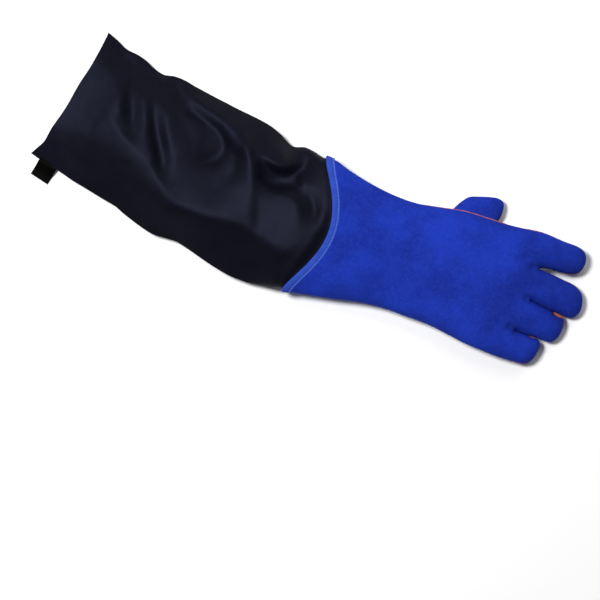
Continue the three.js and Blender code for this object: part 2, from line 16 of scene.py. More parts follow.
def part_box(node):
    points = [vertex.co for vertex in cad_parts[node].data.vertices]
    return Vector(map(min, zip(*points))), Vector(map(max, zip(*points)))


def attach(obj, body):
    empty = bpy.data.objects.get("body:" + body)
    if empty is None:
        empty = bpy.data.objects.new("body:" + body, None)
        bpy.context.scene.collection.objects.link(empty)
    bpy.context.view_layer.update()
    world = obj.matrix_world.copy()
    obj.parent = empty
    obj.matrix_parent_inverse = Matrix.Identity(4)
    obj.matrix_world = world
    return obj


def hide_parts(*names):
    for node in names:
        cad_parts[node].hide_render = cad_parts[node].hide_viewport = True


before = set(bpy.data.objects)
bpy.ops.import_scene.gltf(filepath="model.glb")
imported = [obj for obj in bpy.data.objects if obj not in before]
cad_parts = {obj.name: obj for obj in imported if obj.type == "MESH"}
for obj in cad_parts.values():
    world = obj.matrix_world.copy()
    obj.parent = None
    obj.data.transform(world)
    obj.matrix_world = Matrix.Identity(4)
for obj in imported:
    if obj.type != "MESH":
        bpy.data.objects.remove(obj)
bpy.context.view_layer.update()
MM = 0.001
print("solids:", ", ".join(sorted(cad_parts)))

# %% [markdown]
# The camera comes first, because every later choice is judged through it. The picture was taken from
# straight above, with the glove turned 21.5 degrees clockwise and above the middle of the frame, so the
# camera is rolled by that angle and looks down at a point below the glove. A long lens far away keeps the
# outline free of perspective.

# %% Camera
FRAME_WIDTH = 0.732  # metres of floor across the picture
VIEW_TURN = math.radians(21.5)
VIEW_MIDDLE = (0.0239, -0.1067)
VIEW_HEIGHT = 2.4

camera = bpy.data.objects.new("camera", bpy.data.cameras.new("camera"))
bpy.context.scene.collection.objects.link(camera)
camera.location = (*VIEW_MIDDLE, VIEW_HEIGHT)
camera.rotation_euler = (0, 0, VIEW_TURN)
camera.data.sensor_width = 36
camera.data.lens = 36 * VIEW_HEIGHT / FRAME_WIDTH
bpy.context.scene.camera = camera
print("camera:", FRAME_WIDTH, "m of floor across the picture")

# %% [markdown]
# A pale floor and large soft lights make even studio light. The key light hangs high up, some way beyond
# the sleeve's mouth. From there the flat parts of the black cloth shine, and its folds and sides fall dark.
# The fill light stands on the thumb's side, so the far side of the hand is a little darker.

# %% Floor, lights and sky
scene = bpy.context.scene
scene.view_settings.view_transform = "Standard"


def soft_light(name, place, aim, size, watts):
    data = bpy.data.lights.new(name, "AREA")
    data.size = size
    data.energy = watts
    light = bpy.data.objects.new(name, data)
    light.location = place
    light.rotation_euler = (Vector(aim) - Vector(place)).to_track_quat("-Z", "Y").to_euler()
    scene.collection.objects.link(light)


soft_light("key light", (-1.1, 0.1, 2.7), (0, 0, 0), 0.6, 93)
soft_light("fill light", (0.1, 1.6, 1.6), (0.1, 0, 0), 1.6, 15)
world = bpy.data.worlds.new("studio")
world.use_nodes = True
world.node_tree.nodes["Background"].inputs["Color"].default_value = (1, 1, 1, 1)
world.node_tree.nodes["Background"].inputs["Strength"].default_value = 0.14
scene.world = world

floor_mesh = bpy.data.meshes.new("floor")
floor_mesh.from_pydata([(-4, -4, 0), (4, -4, 0), (4, 4, 0), (-4, 4, 0)], [], [(0, 1, 2, 3)])
floor = bpy.data.objects.new("floor", floor_mesh)
scene.collection.objects.link(floor)
floor_paint = bpy.data.materials.new("pale floor")
floor_paint.use_nodes = True
floor_paint.node_tree.nodes["Principled BSDF"].inputs["Base Color"].default_value = (0.9, 0.9, 0.9, 1)
floor_paint.node_tree.nodes["Principled BSDF"].inputs["Roughness"].default_value = 0.9
floor_mesh.materials.append(floor_paint)

# %% [markdown]
# Split leather has a nap: short fibres that lie this way and that, so the colour is cloudy at the scale of
# a hand and grainy at the scale of a millimetre. The same two effects serve the blue leather, the golden
# patch and the binding, so each is a node group, built once. One group clouds a colour, and the other gives
# the fibres' height for a bump.

# %% Node groups for suede
INPUT_TYPES = {"color": "NodeSocketColor", "value": "NodeSocketFloat"}


def node_group(name, inputs, outputs):
    group = bpy.data.node_groups.new(name, "ShaderNodeTree")
    for socket, (kind, default) in inputs.items():
        made = group.interface.new_socket(socket, in_out="INPUT", socket_type=INPUT_TYPES[kind])
        made.default_value = default
    for socket, kind in outputs.items():
        group.interface.new_socket(socket, in_out="OUTPUT", socket_type=INPUT_TYPES[kind])
    return group, group.nodes.new("NodeGroupInput"), group.nodes.new("NodeGroupOutput")


def add_noise(tree, where, scale, detail=2.0, roughness=0.5, stretch=None):
    """A noise texture. scale is in lumps per metre, and stretch is a scale per axis."""
    texture = tree.nodes.new("ShaderNodeTexNoise")
    texture.inputs["Detail"].default_value = detail
    texture.inputs["Roughness"].default_value = roughness
    if isinstance(scale, (int, float)):
        texture.inputs["Scale"].default_value = scale
    else:
        tree.links.new(scale, texture.inputs["Scale"])
    if stretch:
        mapping = tree.nodes.new("ShaderNodeMapping")
        mapping.inputs["Scale"].default_value = stretch
        tree.links.new(where, mapping.inputs["Vector"])
        where = mapping.outputs["Vector"]
    tree.links.new(where, texture.inputs["Vector"])
    return texture.outputs["Fac"]


def add_range(tree, value, low, high, to_low=0.0, to_high=1.0):
    node = tree.nodes.new("ShaderNodeMapRange")
    for socket, number in zip(("From Min", "From Max", "To Min", "To Max"), (low, high, to_low, to_high)):
        node.inputs[socket].default_value = number
    tree.links.new(value, node.inputs["Value"])
    return node.outputs["Result"]


def add_math(tree, operation, a, b):
    node = tree.nodes.new("ShaderNodeMath")
    node.operation = operation
    for socket, value in zip(node.inputs, (a, b)):
        if isinstance(value, (int, float)):
            socket.default_value = value
        else:
            tree.links.new(value, socket)
    return node.outputs["Value"]


def add_mix(tree, share, a, b):
    node = tree.nodes.new("ShaderNodeMix")
    node.data_type = "RGBA"
    for socket, value in (("Factor", share), ("A", a), ("B", b)):
        target = node.inputs[{"Factor": 0, "A": 6, "B": 7}[socket]]
        if isinstance(value, bpy.types.NodeSocket):
            tree.links.new(value, target)
        else:
            target.default_value = value
    return node.outputs[2]


def make_clouds():
    group, inside, outside = node_group(
        "suede clouds",
        {
            "Deep": ("color", (0, 0, 0.2, 1)), "Middle": ("color", (0, 0, 0.5, 1)),
            "Light": ("color", (0.1, 0.2, 0.8, 1)), "Size": ("value", 40)
        },
        {"Color": "color"},
    )
    where = group.nodes.new("ShaderNodeTexCoord").outputs["Object"]
    broad = add_range(group, add_noise(group, where, inside.outputs["Size"], 3, 0.55), 0.38, 0.64)
    small = add_range(group, add_noise(group, where, 260, 4, 0.62), 0.42, 0.72)
    fibre = add_range(group, add_noise(group, where, 1500, 3, 0.7, (1, 0.45, 1)), 0.35, 0.7)
    base = add_mix(group, broad, inside.outputs["Deep"], inside.outputs["Middle"])
    speckled = add_mix(group, add_math(group, "MULTIPLY", small, 0.16), base, inside.outputs["Light"])
    final = add_mix(group, add_math(group, "MULTIPLY", fibre, 0.2), speckled, inside.outputs["Light"])
    group.links.new(final, outside.inputs["Color"])
    return group


def make_nap():
    group, inside, outside = node_group("suede nap", {"Fibre": ("value", 1400)}, {"Height": "value"})
    where = group.nodes.new("ShaderNodeTexCoord").outputs["Object"]
    fibres = add_noise(group, where, inside.outputs["Fibre"], 4, 0.7, (1, 0.5, 1))
    lumps = add_noise(group, where, 330, 3, 0.6)
    height = add_math(
        group, "ADD", add_math(group, "MULTIPLY", fibres, 0.5),
        add_math(group, "MULTIPLY", lumps, 0.9)
    )
    group.links.new(height, outside.inputs["Height"])
    return group


CLOUDS = make_clouds()
NAP = make_nap()
print("node groups:", CLOUDS.name, "and", NAP.name)

# %% [markdown]
# Each leather is then a short material: the clouds give its colour, the nap its bump, and a little sheen
# stands for the light that fibres catch at a glancing angle.

# %% Leather materials


def principled(name, roughness, sheen=0.0, sheen_tint=(1, 1, 1, 1), gloss=0.15):
    material = bpy.data.materials.new(name)
    material.use_nodes = True
    shader = material.node_tree.nodes["Principled BSDF"]
    shader.inputs["Roughness"].default_value = roughness
    shader.inputs["Specular IOR Level"].default_value = gloss
    shader.inputs["Sheen Weight"].default_value = sheen
    shader.inputs["Sheen Roughness"].default_value = 0.45
    shader.inputs["Sheen Tint"].default_value = sheen_tint
    return material, material.node_tree, shader


def add_bump(tree, shader, height, distance):
    bump = tree.nodes.new("ShaderNodeBump")
    bump.inputs["Distance"].default_value = distance
    tree.links.new(height, bump.inputs["Height"])
    tree.links.new(bump.outputs["Normal"], shader.inputs["Normal"])


def suede(name, deep, middle, light, size=28, grain=0.00045):
    material, tree, shader = principled(name, 0.92, 0.12, (*light, 1), 0.05)
    clouds = tree.nodes.new("ShaderNodeGroup")
    clouds.node_tree = CLOUDS
    for socket, color in (("Deep", deep), ("Middle", middle), ("Light", light)):
        clouds.inputs[socket].default_value = (*color, 1)
    clouds.inputs["Size"].default_value = size
    tree.links.new(clouds.outputs["Color"], shader.inputs["Base Color"])
    nap = tree.nodes.new("ShaderNodeGroup")
    nap.node_tree = NAP
    add_bump(tree, shader, nap.outputs["Height"], grain)
    return material


BLUE = suede("blue split leather", (0.006, 0.0165, 0.225), (0.0085, 0.027, 0.34), (0.03, 0.08, 0.55), 22)
PALE_BLUE = suede(
    "light blue binding leather", (0.016, 0.045, 0.33), (0.022, 0.06, 0.4), (0.07, 0.13, 0.56), 60,
    0.0003
)
GOLD = suede("golden split leather", (0.5, 0.2, 0.012), (0.74, 0.36, 0.03), (0.9, 0.52, 0.1), 34)
# A paler copy of the binding leather, used as a painted highlight on the binding's raised edge.
BINDING_EDGE_HIGHLIGHT = suede(
    "painted highlight on the binding's edge", (0.03, 0.075, 0.44), (0.042, 0.1, 0.52), (0.1, 0.18, 0.62), 60,
    0.0003
)
ORANGE = suede("orange welt", (0.3, 0.065, 0.045), (0.44, 0.11, 0.085), (0.6, 0.26, 0.2), 120, 0.0002)
print("leathers:", ", ".join(made.name for made in (BLUE, PALE_BLUE, GOLD, BINDING_EDGE_HIGHLIGHT, ORANGE)))

# %% [markdown]
# The sleeve is a close-woven cotton, almost black with a blue cast, and a little glossy on its folds. Its
# threads are under a millimetre apart, so the weave is a bump and a faint change of colour. It has to
# follow the cloth round the arm, so it reads the sleeve's own UV map, which is laid out in metres of cloth.

# %% Cloth material
THREAD = 0.0007  # pitch of the weave


def make_weave():
    group, inside, outside = node_group("plain weave", {"Pitch": ("value", THREAD)}, {"Height": "value"})
    where = group.nodes.new("ShaderNodeUVMap")
    where.uv_map = "cloth"
    parts = group.nodes.new("ShaderNodeSeparateXYZ")
    group.links.new(where.outputs["UV"], parts.inputs["Vector"])
    waves = []
    for axis in "XY":
        threads = add_math(group, "DIVIDE", parts.outputs[axis], inside.outputs["Pitch"])
        angle = add_math(group, "MULTIPLY", threads, math.pi)
        waves.append(add_math(group, "ABSOLUTE", add_math(group, "SINE", angle, 0), 0))
    group.links.new(add_math(group, "MULTIPLY", waves[0], waves[1]), outside.inputs["Height"])
    return group


WEAVE = make_weave()


def cloth(name, dark, light, gloss, tint=(0.52, 0.57, 1)):
    material, tree, shader = principled(name, 0.52, gloss=gloss)
    shader.inputs["Specular Tint"].default_value = (*tint, 1)
    weave = tree.nodes.new("ShaderNodeGroup")
    weave.node_tree = WEAVE
    where = tree.nodes.new("ShaderNodeTexCoord").outputs["Object"]
    slub = add_range(tree, add_noise(tree, where, 45, 4, 0.6), 0.35, 0.7)
    cloudy = add_math(tree, "MULTIPLY", slub, 0.5)
    woven = add_math(tree, "MULTIPLY", weave.outputs["Height"], 0.45)
    share = add_math(tree, "ADD", cloudy, woven)
    tree.links.new(add_mix(tree, share, (*dark, 1), (*light, 1)), shader.inputs["Base Color"])
    add_bump(tree, shader, weave.outputs["Height"], 0.00005)
    return material


BLACK_CLOTH = cloth("black cloth", (0.0013, 0.0012, 0.0026), (0.0037, 0.0036, 0.007), 0.13)
BLACK_TAPE = cloth("black tape", (0.0009, 0.0009, 0.0008), (0.0025, 0.0025, 0.002), 0.02, (0.8, 0.8, 0.7))
print("cloths:", BLACK_CLOTH.name, "and", BLACK_TAPE.name)

# %% [markdown]
# Thread is smooth and a little shiny, so it needs no clouds: a fine twist round each stitch is enough. The
# hem is sewn in the colour of its cloth, so its thread is made as the cloth is.

# %% Thread materials


def thread(name, color):
    material, tree, shader = principled(name, 0.5)
    where = tree.nodes.new("ShaderNodeTexCoord").outputs["Object"]
    twist = add_noise(tree, where, 2600, 2, 0.5)
    dark = tuple(channel * 0.7 for channel in color)
    tree.links.new(add_mix(tree, twist, (*dark, 1), (*color, 1)), shader.inputs["Base Color"])
    add_bump(tree, shader, twist, 0.0001)
    return material


SKY_THREAD = thread("pale blue thread", (0.085, 0.16, 0.62))
BLACK_THREAD = cloth("black thread", (0.001, 0.001, 0.0025), (0.003, 0.003, 0.007), 0.12)
GOLD_THREAD = thread("golden thread", (0.8, 0.45, 0.1))
print("threads:", ", ".join(made.name for made in (SKY_THREAD, BLACK_THREAD, GOLD_THREAD)))

# %% [markdown]
# The glove has its own axes: x runs from the middle of the cuff's edge to the fingers, and y to the thumb's
# side. On the floor those axes are turned by 3 degrees. Where they stand is read from the solid of the
# cuff's binding, whose ends mark the edge. Lengths from here on are in millimetres, and place() brings a
# finished shape into the frame.

# %% The glove's axes
HAND_TURN = math.radians(3)
SLEEVE_TURN = math.radians(-7.7)
MOUTH_TURN = math.radians(-11.3)
BINDING_PROUD = 1.5  # binding that laps past the leather's edge
BINDING_END = 9.6  # how far the binding reaches on to the leather

low, high = (np.array(corner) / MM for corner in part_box("cuff_binding"))
half_chord = (high[1] - low[1]) / 2
CUFF_MIDDLE = np.array(
    [low[0] + BINDING_PROUD * math.cos(HAND_TURN) + half_chord * math.sin(HAND_TURN), (low[1] + high[1]) / 2]
)
print("the cuff's middle is at", CUFF_MIDDLE.round(1), "mm")


def turned(points, angle):
    x, y = points[..., 0], points[..., 1]
    cos, sin = np.cos(angle), np.sin(angle)
    plan = np.stack([x * cos - y * sin, x * sin + y * cos], -1)
    return np.concatenate([plan, points[..., 2:]], -1)


def place(points, angle=HAND_TURN):
    """From the glove's axes in millimetres to the frame in metres."""
    moved = turned(np.asarray(points, float), angle)
    moved[..., :2] += CUFF_MIDDLE
    return moved * MM


# %% [markdown]
# The shape comes from short tables along the glove, read with a smooth curve through their rows. The side
# seams lie on one gently arched sheet. Its height is a table too: the hand is lifted by the thumb below it,
# so the sheet tilts, and it drops to the floor at the fingertips.

# %% Tables of the glove
GLOVE = {
    "along": [0, 12, 30, 60, 90, 120, 150, 177, 204, 231, 258, 274, 285],
    "left": [85, 84, 78.2, 71, 66.5, 65.7, 69.9, 74, 74.5, 75, 77.7, 78.7, 77.9],
    "right": [85, 83.5, 80.5, 75.3, 69.3, 66.5, 67.3, 68, 71.8, 76, 77.7, 77.9, 77.5],
    "rise": [28, 27.3, 26.2, 24.9, 23, 21.2, 20.1, 20.1, 20, 19.6, 19, 18, 17],
    "sag": [29, 27.9, 26.2, 25.7, 23.7, 20.5, 16.2, 14.3, 14.3, 14.3, 14.3, 13.5, 13],
}
SEAMS = {
    "along": [0, 60, 110, 150, 200, 245, 285, 316, 335, 352],
    "middle": [27, 26.3, 27.4, 30.2, 34.2, 34.9, 29.2, 18.7, 13, 10.4],
    "tilt": [0, 1, 5.2, 10.4, 13, 12.1, 9.1, 6.5, 3.5, 1],
}
HAND_HALF_WIDTH = 76
CUFF_BOW = 31
BELLY_BOW = 8
BACK_ROUNDNESS, PALM_ROUNDNESS = 2.4, 3  # 2 is a round crown, and more is flatter
BOW_REACH = 150
BINDING_STACK = 1.7  # the binding's thickness and the gap under it, which keep the cuff off the floor


def curve_through(keys, values, at):
    keys, values = np.asarray(keys, float), np.asarray(values, float)
    last = len(keys) - 1
    before, after = np.maximum(np.arange(last + 1) - 1, 0), np.minimum(np.arange(last + 1) + 1, last)
    slope = (values[after] - values[before]) / (keys[after] - keys[before])
    i = np.clip(np.searchsorted(keys, at, "right") - 1, 0, last - 1)
    span = keys[i + 1] - keys[i]
    t = np.clip((at - keys[i]) / span, 0, 1)
    hold = t * t * (3 - 2 * t)
    ease = slope[i] * t * (1 - t) ** 2 * span + slope[i + 1] * t * t * (t - 1) * span
    return values[i] * (1 - hold) + values[i + 1] * hold + ease


def along_glove(table, column, at):
    return curve_through(table["along"], table[column], at)


def either_side(table, across, along):
    """The table's left column for points on the thumb's side, and its right column for the others."""
    return np.where(across > 0, along_glove(table, "left", along), along_glove(table, "right", along))


def seam_height(x, y):
    return along_glove(SEAMS, "middle", x) + along_glove(SEAMS, "tilt", x) * y / HAND_HALF_WIDTH


def crown(s, roundness, lens=0.0):
    return np.maximum(0, 1 - np.abs(s) ** roundness) ** (0.5 + 0.5 * lens)


def smooth_step(x, start, end):
    t = np.clip((x - start) / (end - start), 0, 1)
    return t * t * (3 - 2 * t)


def bow_at(distance, s, side):
    bow = CUFF_BOW if side > 0 else BELLY_BOW
    return bow * np.maximum(1 - s * s, 0) ** 1.4 * np.clip(1 - distance / BOW_REACH, 0, 1)


def cuff_lift(along, s, side, grow=0.0):
    size = along_glove(GLOVE, "rise" if side > 0 else "sag", along) + grow
    return size * crown(s, BACK_ROUNDNESS if side > 0 else PALM_ROUNDNESS)


def cuff_point(along, s, side, grow=0.0):
    """A point of the cuff's smooth surface, moved outwards by grow."""
    y = (either_side(GLOVE, s, along) + grow) * s
    z = seam_height(along, y) + side * cuff_lift(along, s, side, grow)
    x = along + bow_at(along, s, side)
    return np.stack([x, y, np.maximum(z, BINDING_STACK - grow)], -1)


print("the cuff's edge is", GLOVE["left"][0] + GLOVE["right"][0], "mm wide")


# %% [markdown]
# The leather parts are cut flat, so they are built from their plan. The outline runs from one end of the
# cuff's edge round all four fingers to the other end. The cuff's and the hand's sides follow the table. The
# fingers, which touch each other and curl a little, follow a few points each, joined by the same smooth
# curve.

# %% Outline of the hand
STEP = 1.6  # spacing of the mesh
SIDES_END = 231  # where the fingers' own outline takes over
INDEX = [
    (251, 76.9), (276, 79.5), (302, 78.4), (321, 78.3), (331, 75.4), (335.8, 69.2), (337.3, 60.8),
    (334.2, 50.7), (325.8, 45.3), (313.8, 42.6), (301, 41.8), (289.5, 40.2), (284.2, 38.2)
]
MIDDLE = [
    (284.4, 37.2), (303, 36.4), (316.5, 34.9), (330, 33.4), (340, 30), (347.4, 22.5), (350.3, 12),
    (349.6, 3), (345.5, -3.6), (338, -6.4), (325, -5.6), (305, -3.6), (287, -1.0)
]
RING = [
    (286.8, -2.4), (305, -5.0), (325, -7.0), (333, -9), (336.2, -17.9), (335.4, -29.9),
    (331, -38.5), (325, -42), (316, -42), (300, -41.8), (281, -41.2)
]
LITTLE = [
    (280.8, -42.6), (300, -43.2), (313, -43.9), (316.8, -50), (316.2, -58), (314, -67),
    (309.5, -73.5), (302, -76.9), (289.6, -77.8), (270.7, -78.4), (251, -77.5)
]


def lengths_to(line):
    """Length of a line from its start to each of its points."""
    return np.r_[0, np.cumsum(np.linalg.norm(np.diff(line, axis=0), axis=1))]


def smooth_run(points, step=STEP):
    points = np.asarray(points, float)
    distance = lengths_to(points)
    at = np.linspace(0, distance[-1], max(2, round(distance[-1] / step) + 1))
    return np.stack([curve_through(distance, points[:, i], at) for i in range(points.shape[1])], -1)


def side_run(column, sign):
    x = np.arange(0, SIDES_END, STEP)
    return np.stack([x, sign * along_glove(GLOVE, column, x)], -1)


def finger_runs():
    left, right = side_run("left", 1), side_run("right", -1)
    return [
        np.concatenate([left[:-1], smooth_run([left[-1], *INDEX])]),
        smooth_run(MIDDLE),
        smooth_run(RING),
        np.concatenate([smooth_run([*LITTLE, right[-1]])[:-1], right[::-1]]),
    ]


def cuff_edge(side):
    """The cuff's edge in plan, from the little finger's side to the thumb's, without its two ends."""
    s = np.cos(np.linspace(math.pi, 0, 120))[1:-1]
    return cuff_point(np.zeros_like(s), s, side)[:, :2]


HAND_RIM = np.concatenate(finger_runs())
print("outline of", len(HAND_RIM), "points")

# %% [markdown]
# A net of even triangles fills the outline. Blender's constrained Delaunay function keeps the outline and
# any seam line drawn inside it as edges of the net, so a panel can be cut out of it later along a clean
# line. Three extra rows follow the outline closely, because the leather turns down steeply there.

# %% Filling an outline
RIM_ROWS = (0.12, 0.45, 1.05)


def inside_polygon(points, polygon):
    x, y = points[:, 0][:, None], points[:, 1][:, None]
    ax, ay = polygon[:, 0], polygon[:, 1]
    bx, by = np.roll(ax, -1), np.roll(ay, -1)
    with np.errstate(divide="ignore", invalid="ignore"):
        crossing = ((ay > y) != (by > y)) & (x < (bx - ax) * (y - ay) / (by - ay) + ax)
    return crossing.sum(1) % 2 == 1


def distance_to(points, line, closed=True):
    """Distance from each point to a line of points."""
    start = line if closed else line[:-1]
    span = (np.roll(line, -1, 0) if closed else line[1:]) - (line if closed else line[:-1])
    length = np.maximum((span**2).sum(1), 1e-12)
    best = np.full(len(points), 1e9)
    for chunk in range(0, len(points), 4000):
        p = points[chunk : chunk + 4000, None]
        t = np.clip(((p - start) * span).sum(2) / length, 0, 1)
        best[chunk : chunk + 4000] = np.sqrt(((p - start - t[..., None] * span) ** 2).sum(2)).min(1)
    return best


def inner_row(outline, depth):
    ahead = np.roll(outline, -1, 0) - np.roll(outline, 1, 0)
    length = np.maximum(np.linalg.norm(ahead, axis=1, keepdims=True), 1e-9)
    inward = np.stack([ahead[:, 1], -ahead[:, 0]], 1) / length
    return outline + inward * depth


def fill(outline, seams=(), step=STEP, rows=RIM_ROWS):
    """Points and triangles inside a clockwise outline. seams are open lines that the triangles follow."""
    low, high = outline.min(0), outline.max(0)
    row_step = step * math.sqrt(3) / 2
    grid = [
        (x + (step / 2 if j % 2 else 0), y)
        for j, y in enumerate(np.arange(low[1], high[1], row_step))
        for x in np.arange(low[0], high[0], step)
    ]
    grid = np.array(grid)
    grid = grid[inside_polygon(grid, outline)]
    grid = grid[distance_to(grid, outline) > max(rows, default=0) + step * 0.45]
    for seam in seams:
        grid = grid[distance_to(grid, seam, closed=False) > step * 0.5]
    near = [inner_row(outline, depth) for depth in rows]
    near = [row[distance_to(row, outline) > depth * 0.8] for row, depth in zip(near, rows)]
    near = [row[inside_polygon(row, outline)] for row in near]
    for seam in seams:
        near = [row[distance_to(row, seam, closed=False) > 0.3] for row in near]
    groups = [outline, *seams]
    points, edges = [], []
    for k, line in enumerate(groups):
        first = len(points)
        points.extend(map(tuple, line))
        count = len(line)
        edges += [(first + i, first + (i + 1) % count) for i in range(count if k == 0 else count - 1)]
    loose = np.concatenate([*near, grid])
    points.extend(map(tuple, loose))
    corners, border = [Vector(p) for p in points], [list(range(len(outline)))]
    verts, _, faces, *_ = delaunay_2d_cdt(corners, edges, border, 1, 1e-4)
    verts = np.array([tuple(v) for v in verts])
    faces = np.array([f for f in faces if len(f) == 3])
    a, b, c = (verts[faces[:, i]] for i in range(3))
    clockwise = np.cross(b - a, c - a) < 0
    faces[clockwise] = faces[clockwise][:, ::-1]
    return verts, faces


# %% [markdown]
# Flat leather becomes a hand by being blown up a little, as a glove is by the air in it: high in the middle
# and turned down at the seam. Solving for a membrane that is held at the outline gives just that, also
# where four fingers join the palm, with no seam between shapes. A short reach makes a pillow with round
# edges, and a long one a broad crown. The two are mixed.

# %% Blowing up a plan


def membrane(verts, faces, held, reach):
    """Height from 0 to 1 of a film held down at some points. reach is how far from them it takes to rise."""
    rows, cols, weights = [], [], []
    area = np.zeros(len(verts))
    for i in range(3):
        a, b, c = faces[:, i], faces[:, (i + 1) % 3], faces[:, (i + 2) % 3]
        u, v = verts[a] - verts[c], verts[b] - verts[c]
        twice = np.maximum(np.abs(np.cross(u, v)), 1e-9)
        half_cotangent = 0.5 * (u * v).sum(1) / twice
        rows += [a, b]
        cols += [b, a]
        weights += [half_cotangent, half_cotangent]
        area += np.bincount(a, twice / 6, len(verts))
    rows, cols = np.concatenate(rows), np.concatenate(cols)
    weights = np.maximum(np.concatenate(weights), 1e-4)
    pull = area / reach**2
    diagonal = np.bincount(rows, weights, len(verts)) + pull
    free = ~held

    def apply(u):
        return np.where(free, diagonal * u - np.bincount(rows, weights * u[cols], len(verts)), 0)

    u = np.zeros(len(verts))
    rest = np.where(free, pull, 0)
    scaled = rest / diagonal
    step, energy = scaled.copy(), rest @ scaled
    for _ in range(600):
        moved = apply(step)
        size = energy / (step @ moved)
        u += size * step
        rest -= size * moved
        scaled = rest / diagonal
        energy, before = rest @ scaled, energy
        if energy < 1e-9:
            break
        step = scaled + energy / before * step
    return u


def pillow(u):
    return np.sqrt(np.clip(u * (2 - u), 0, 1))


def make_object(name, points, faces, material):
    mesh = bpy.data.meshes.new(name)
    mesh.from_pydata(np.asarray(points).tolist(), [], [list(map(int, face)) for face in faces])
    mesh.materials.append(material)
    mesh.validate()
    mesh.shade_smooth()
    made = bpy.data.objects.new(name, mesh)
    scene.collection.objects.link(made)
    return made


def thicken(made, thickness):
    wall = made.modifiers.new("wall", "SOLIDIFY")
    wall.thickness = thickness * MM
    wall.offset = -1
    wall.use_even_offset = False
    return made


# %% [markdown]
# Leather that has been worn keeps soft dents and creases. A few are listed: a groove runs back from
# each gap between two fingers, the wrist has slanting folds, and each finger is a little sunken where it
# bends. Low rolling noise adds the rest. All of it fades out at the seams, which are stiff.

# %% Creases of the leather
# Each crease: x0, y0, x1, y1, width and height, where a height below 0 is a groove.
BACK_CREASES = [
    ("gap of index and middle", 284, 38, 275, 36, 5, -3.6),
    ("gap of middle and ring", 287, -1.5, 281, -1, 4.2, -3.8),
    ("gap of ring and little", 281, -42, 272, -41.6, 4.2, -3.6),
    ("dent before the index", 264, 43, 258, 40, 6.5, -2.4),
    ("index bend", 300, 70, 305, 52, 7, -1.1),
    ("middle bend, upper", 314, 30, 310, 22, 6, -1.0),
    ("middle bend, lower", 318, 8, 322, 2, 6, -0.9),
    ("ring bend", 303, -14, 299, -30, 7, -1.1),
    ("little bend", 290, -52, 294, -66, 6, -1.0),
    ("wrist fold, upper", 150, 62, 118, 30, 7, -1.8),
    ("wrist fold, middle", 132, 14, 150, -22, 9, -1.6),
    ("wrist fold, lower", 112, -30, 146, -58, 8, -1.8),
    ("cuff roll", 92, 44, 74, -34, 14, 1.2),
    ("hand roll", 196, 40, 214, -46, 18, 1.4),
    ("knuckle of index", 246, 58, 252, 48, 13, 1.8),
    ("knuckle of middle", 250, 20, 252, 10, 13, 2.0),
    ("knuckle of ring", 246, -20, 246, -28, 12, 1.6),
    ("knuckle of little", 236, -58, 238, -62, 12, 1.4),
]


def crease_height(plan, creases):
    total = np.zeros(len(plan))
    for _, x0, y0, x1, y1, width, height in creases:
        away = distance_to(plan, np.array([(x0, y0), (x1, y1)], float), closed=False)
        total += height * np.exp(-((away / width) ** 2))
    return total


def rolling(plan, size, seed, octaves=2):
    """Smooth hills and hollows between -1 and 1. size is the distance between them."""
    height = np.zeros(len(plan))
    for k in range(octaves):
        scale = size / 2**k
        hills = [noise.noise(Vector((x / scale, y / scale, seed + 3 * k))) for x, y in plan]
        height += np.array(hills) / 2**k
    return height


# %% [markdown]
# The back is one piece of leather, from the cuff's bowed edge to the fingertips. Near the cuff it keeps the
# exact shape that the binding and the sleeve are made to, and from the wrist on the blown-up film takes
# over.

# %% Back panel
LEATHER = 2.0
SEAM_ROOM = 0.8  # from the middle of a seam to each leather's edge, which leaves room for the welt
FILM_START, FILM_END = 70, 150
EDGE_REACH, BROAD_REACH = 11, 38  # how far from the seam the leather takes to rise
EDGE_HEIGHT = {"along": [0, 240, 300], "back": [13, 12.5, 15.5], "palm": [9, 9, 12.5]}
BROAD_HEIGHT = {"back": 11, "palm": 9}


def station_of(plan, side):
    """Distance of points in plan along the glove, without the bow of the cuff's edge, and their s."""
    along = plan[:, 0].copy()
    for _ in range(8):
        s = np.clip(plan[:, 1] / either_side(GLOVE, plan[:, 1], along), -1, 1)
        along = plan[:, 0] - bow_at(along, s, side)
    return along, s


def hand_height(verts, faces, held, side):
    along, s = station_of(verts, side)
    round_edge = pillow(membrane(verts, faces, held, EDGE_REACH))
    broad = membrane(verts, faces, held, BROAD_REACH)
    wall = "back" if side > 0 else "palm"
    film = round_edge * along_glove(EDGE_HEIGHT, wall, verts[:, 0]) + broad * BROAD_HEIGHT[wall]
    share = smooth_step(verts[:, 0], FILM_START, FILM_END)
    lift = cuff_lift(along, s, side) * (1 - share) + film * share
    lift[held] = 0
    return lift, along, round_edge


def held_at(verts, rim):
    return distance_to(verts, rim, closed=False) < 0.05


def panel_of(side, seams=()):
    """Plan net and finished points of the whole back (side 1) or of the whole palm side (side -1)."""
    outline = np.concatenate([HAND_RIM, cuff_edge(side)])
    verts, faces = fill(outline, seams)
    held = held_at(verts, HAND_RIM)
    lift, along, edge = hand_height(verts, faces, held, side)
    seam = seam_height(along, verts[:, 1])
    return verts, faces, lift, seam, edge


# Lines along which two fingers touch, and the place by the ring finger's tip where the welt lies open.
TOUCHING = [[(286.9, -1.7), (305, -4.3), (316, -5.4)], [(280.9, -41.9), (298, -42.4)]]
OPEN_AT, OPEN_LENGTH, OPEN_WIDTH = (325, -7.2), 7, 2.6


def close_gaps(plan):
    """The leather beside each touching line moved almost to it, so that nothing shows through."""
    moved = plan.copy()
    for line in (smooth_run(points) for points in TOUCHING):
        reach = np.clip(1.5 - distance_to(plan, line, closed=False) / 1.5, 0, 1)
        moved[:, 1] += 0.9 * reach * (curve_through(line[:, 0], line[:, 1], plan[:, 0]) - plan[:, 1])
    return moved


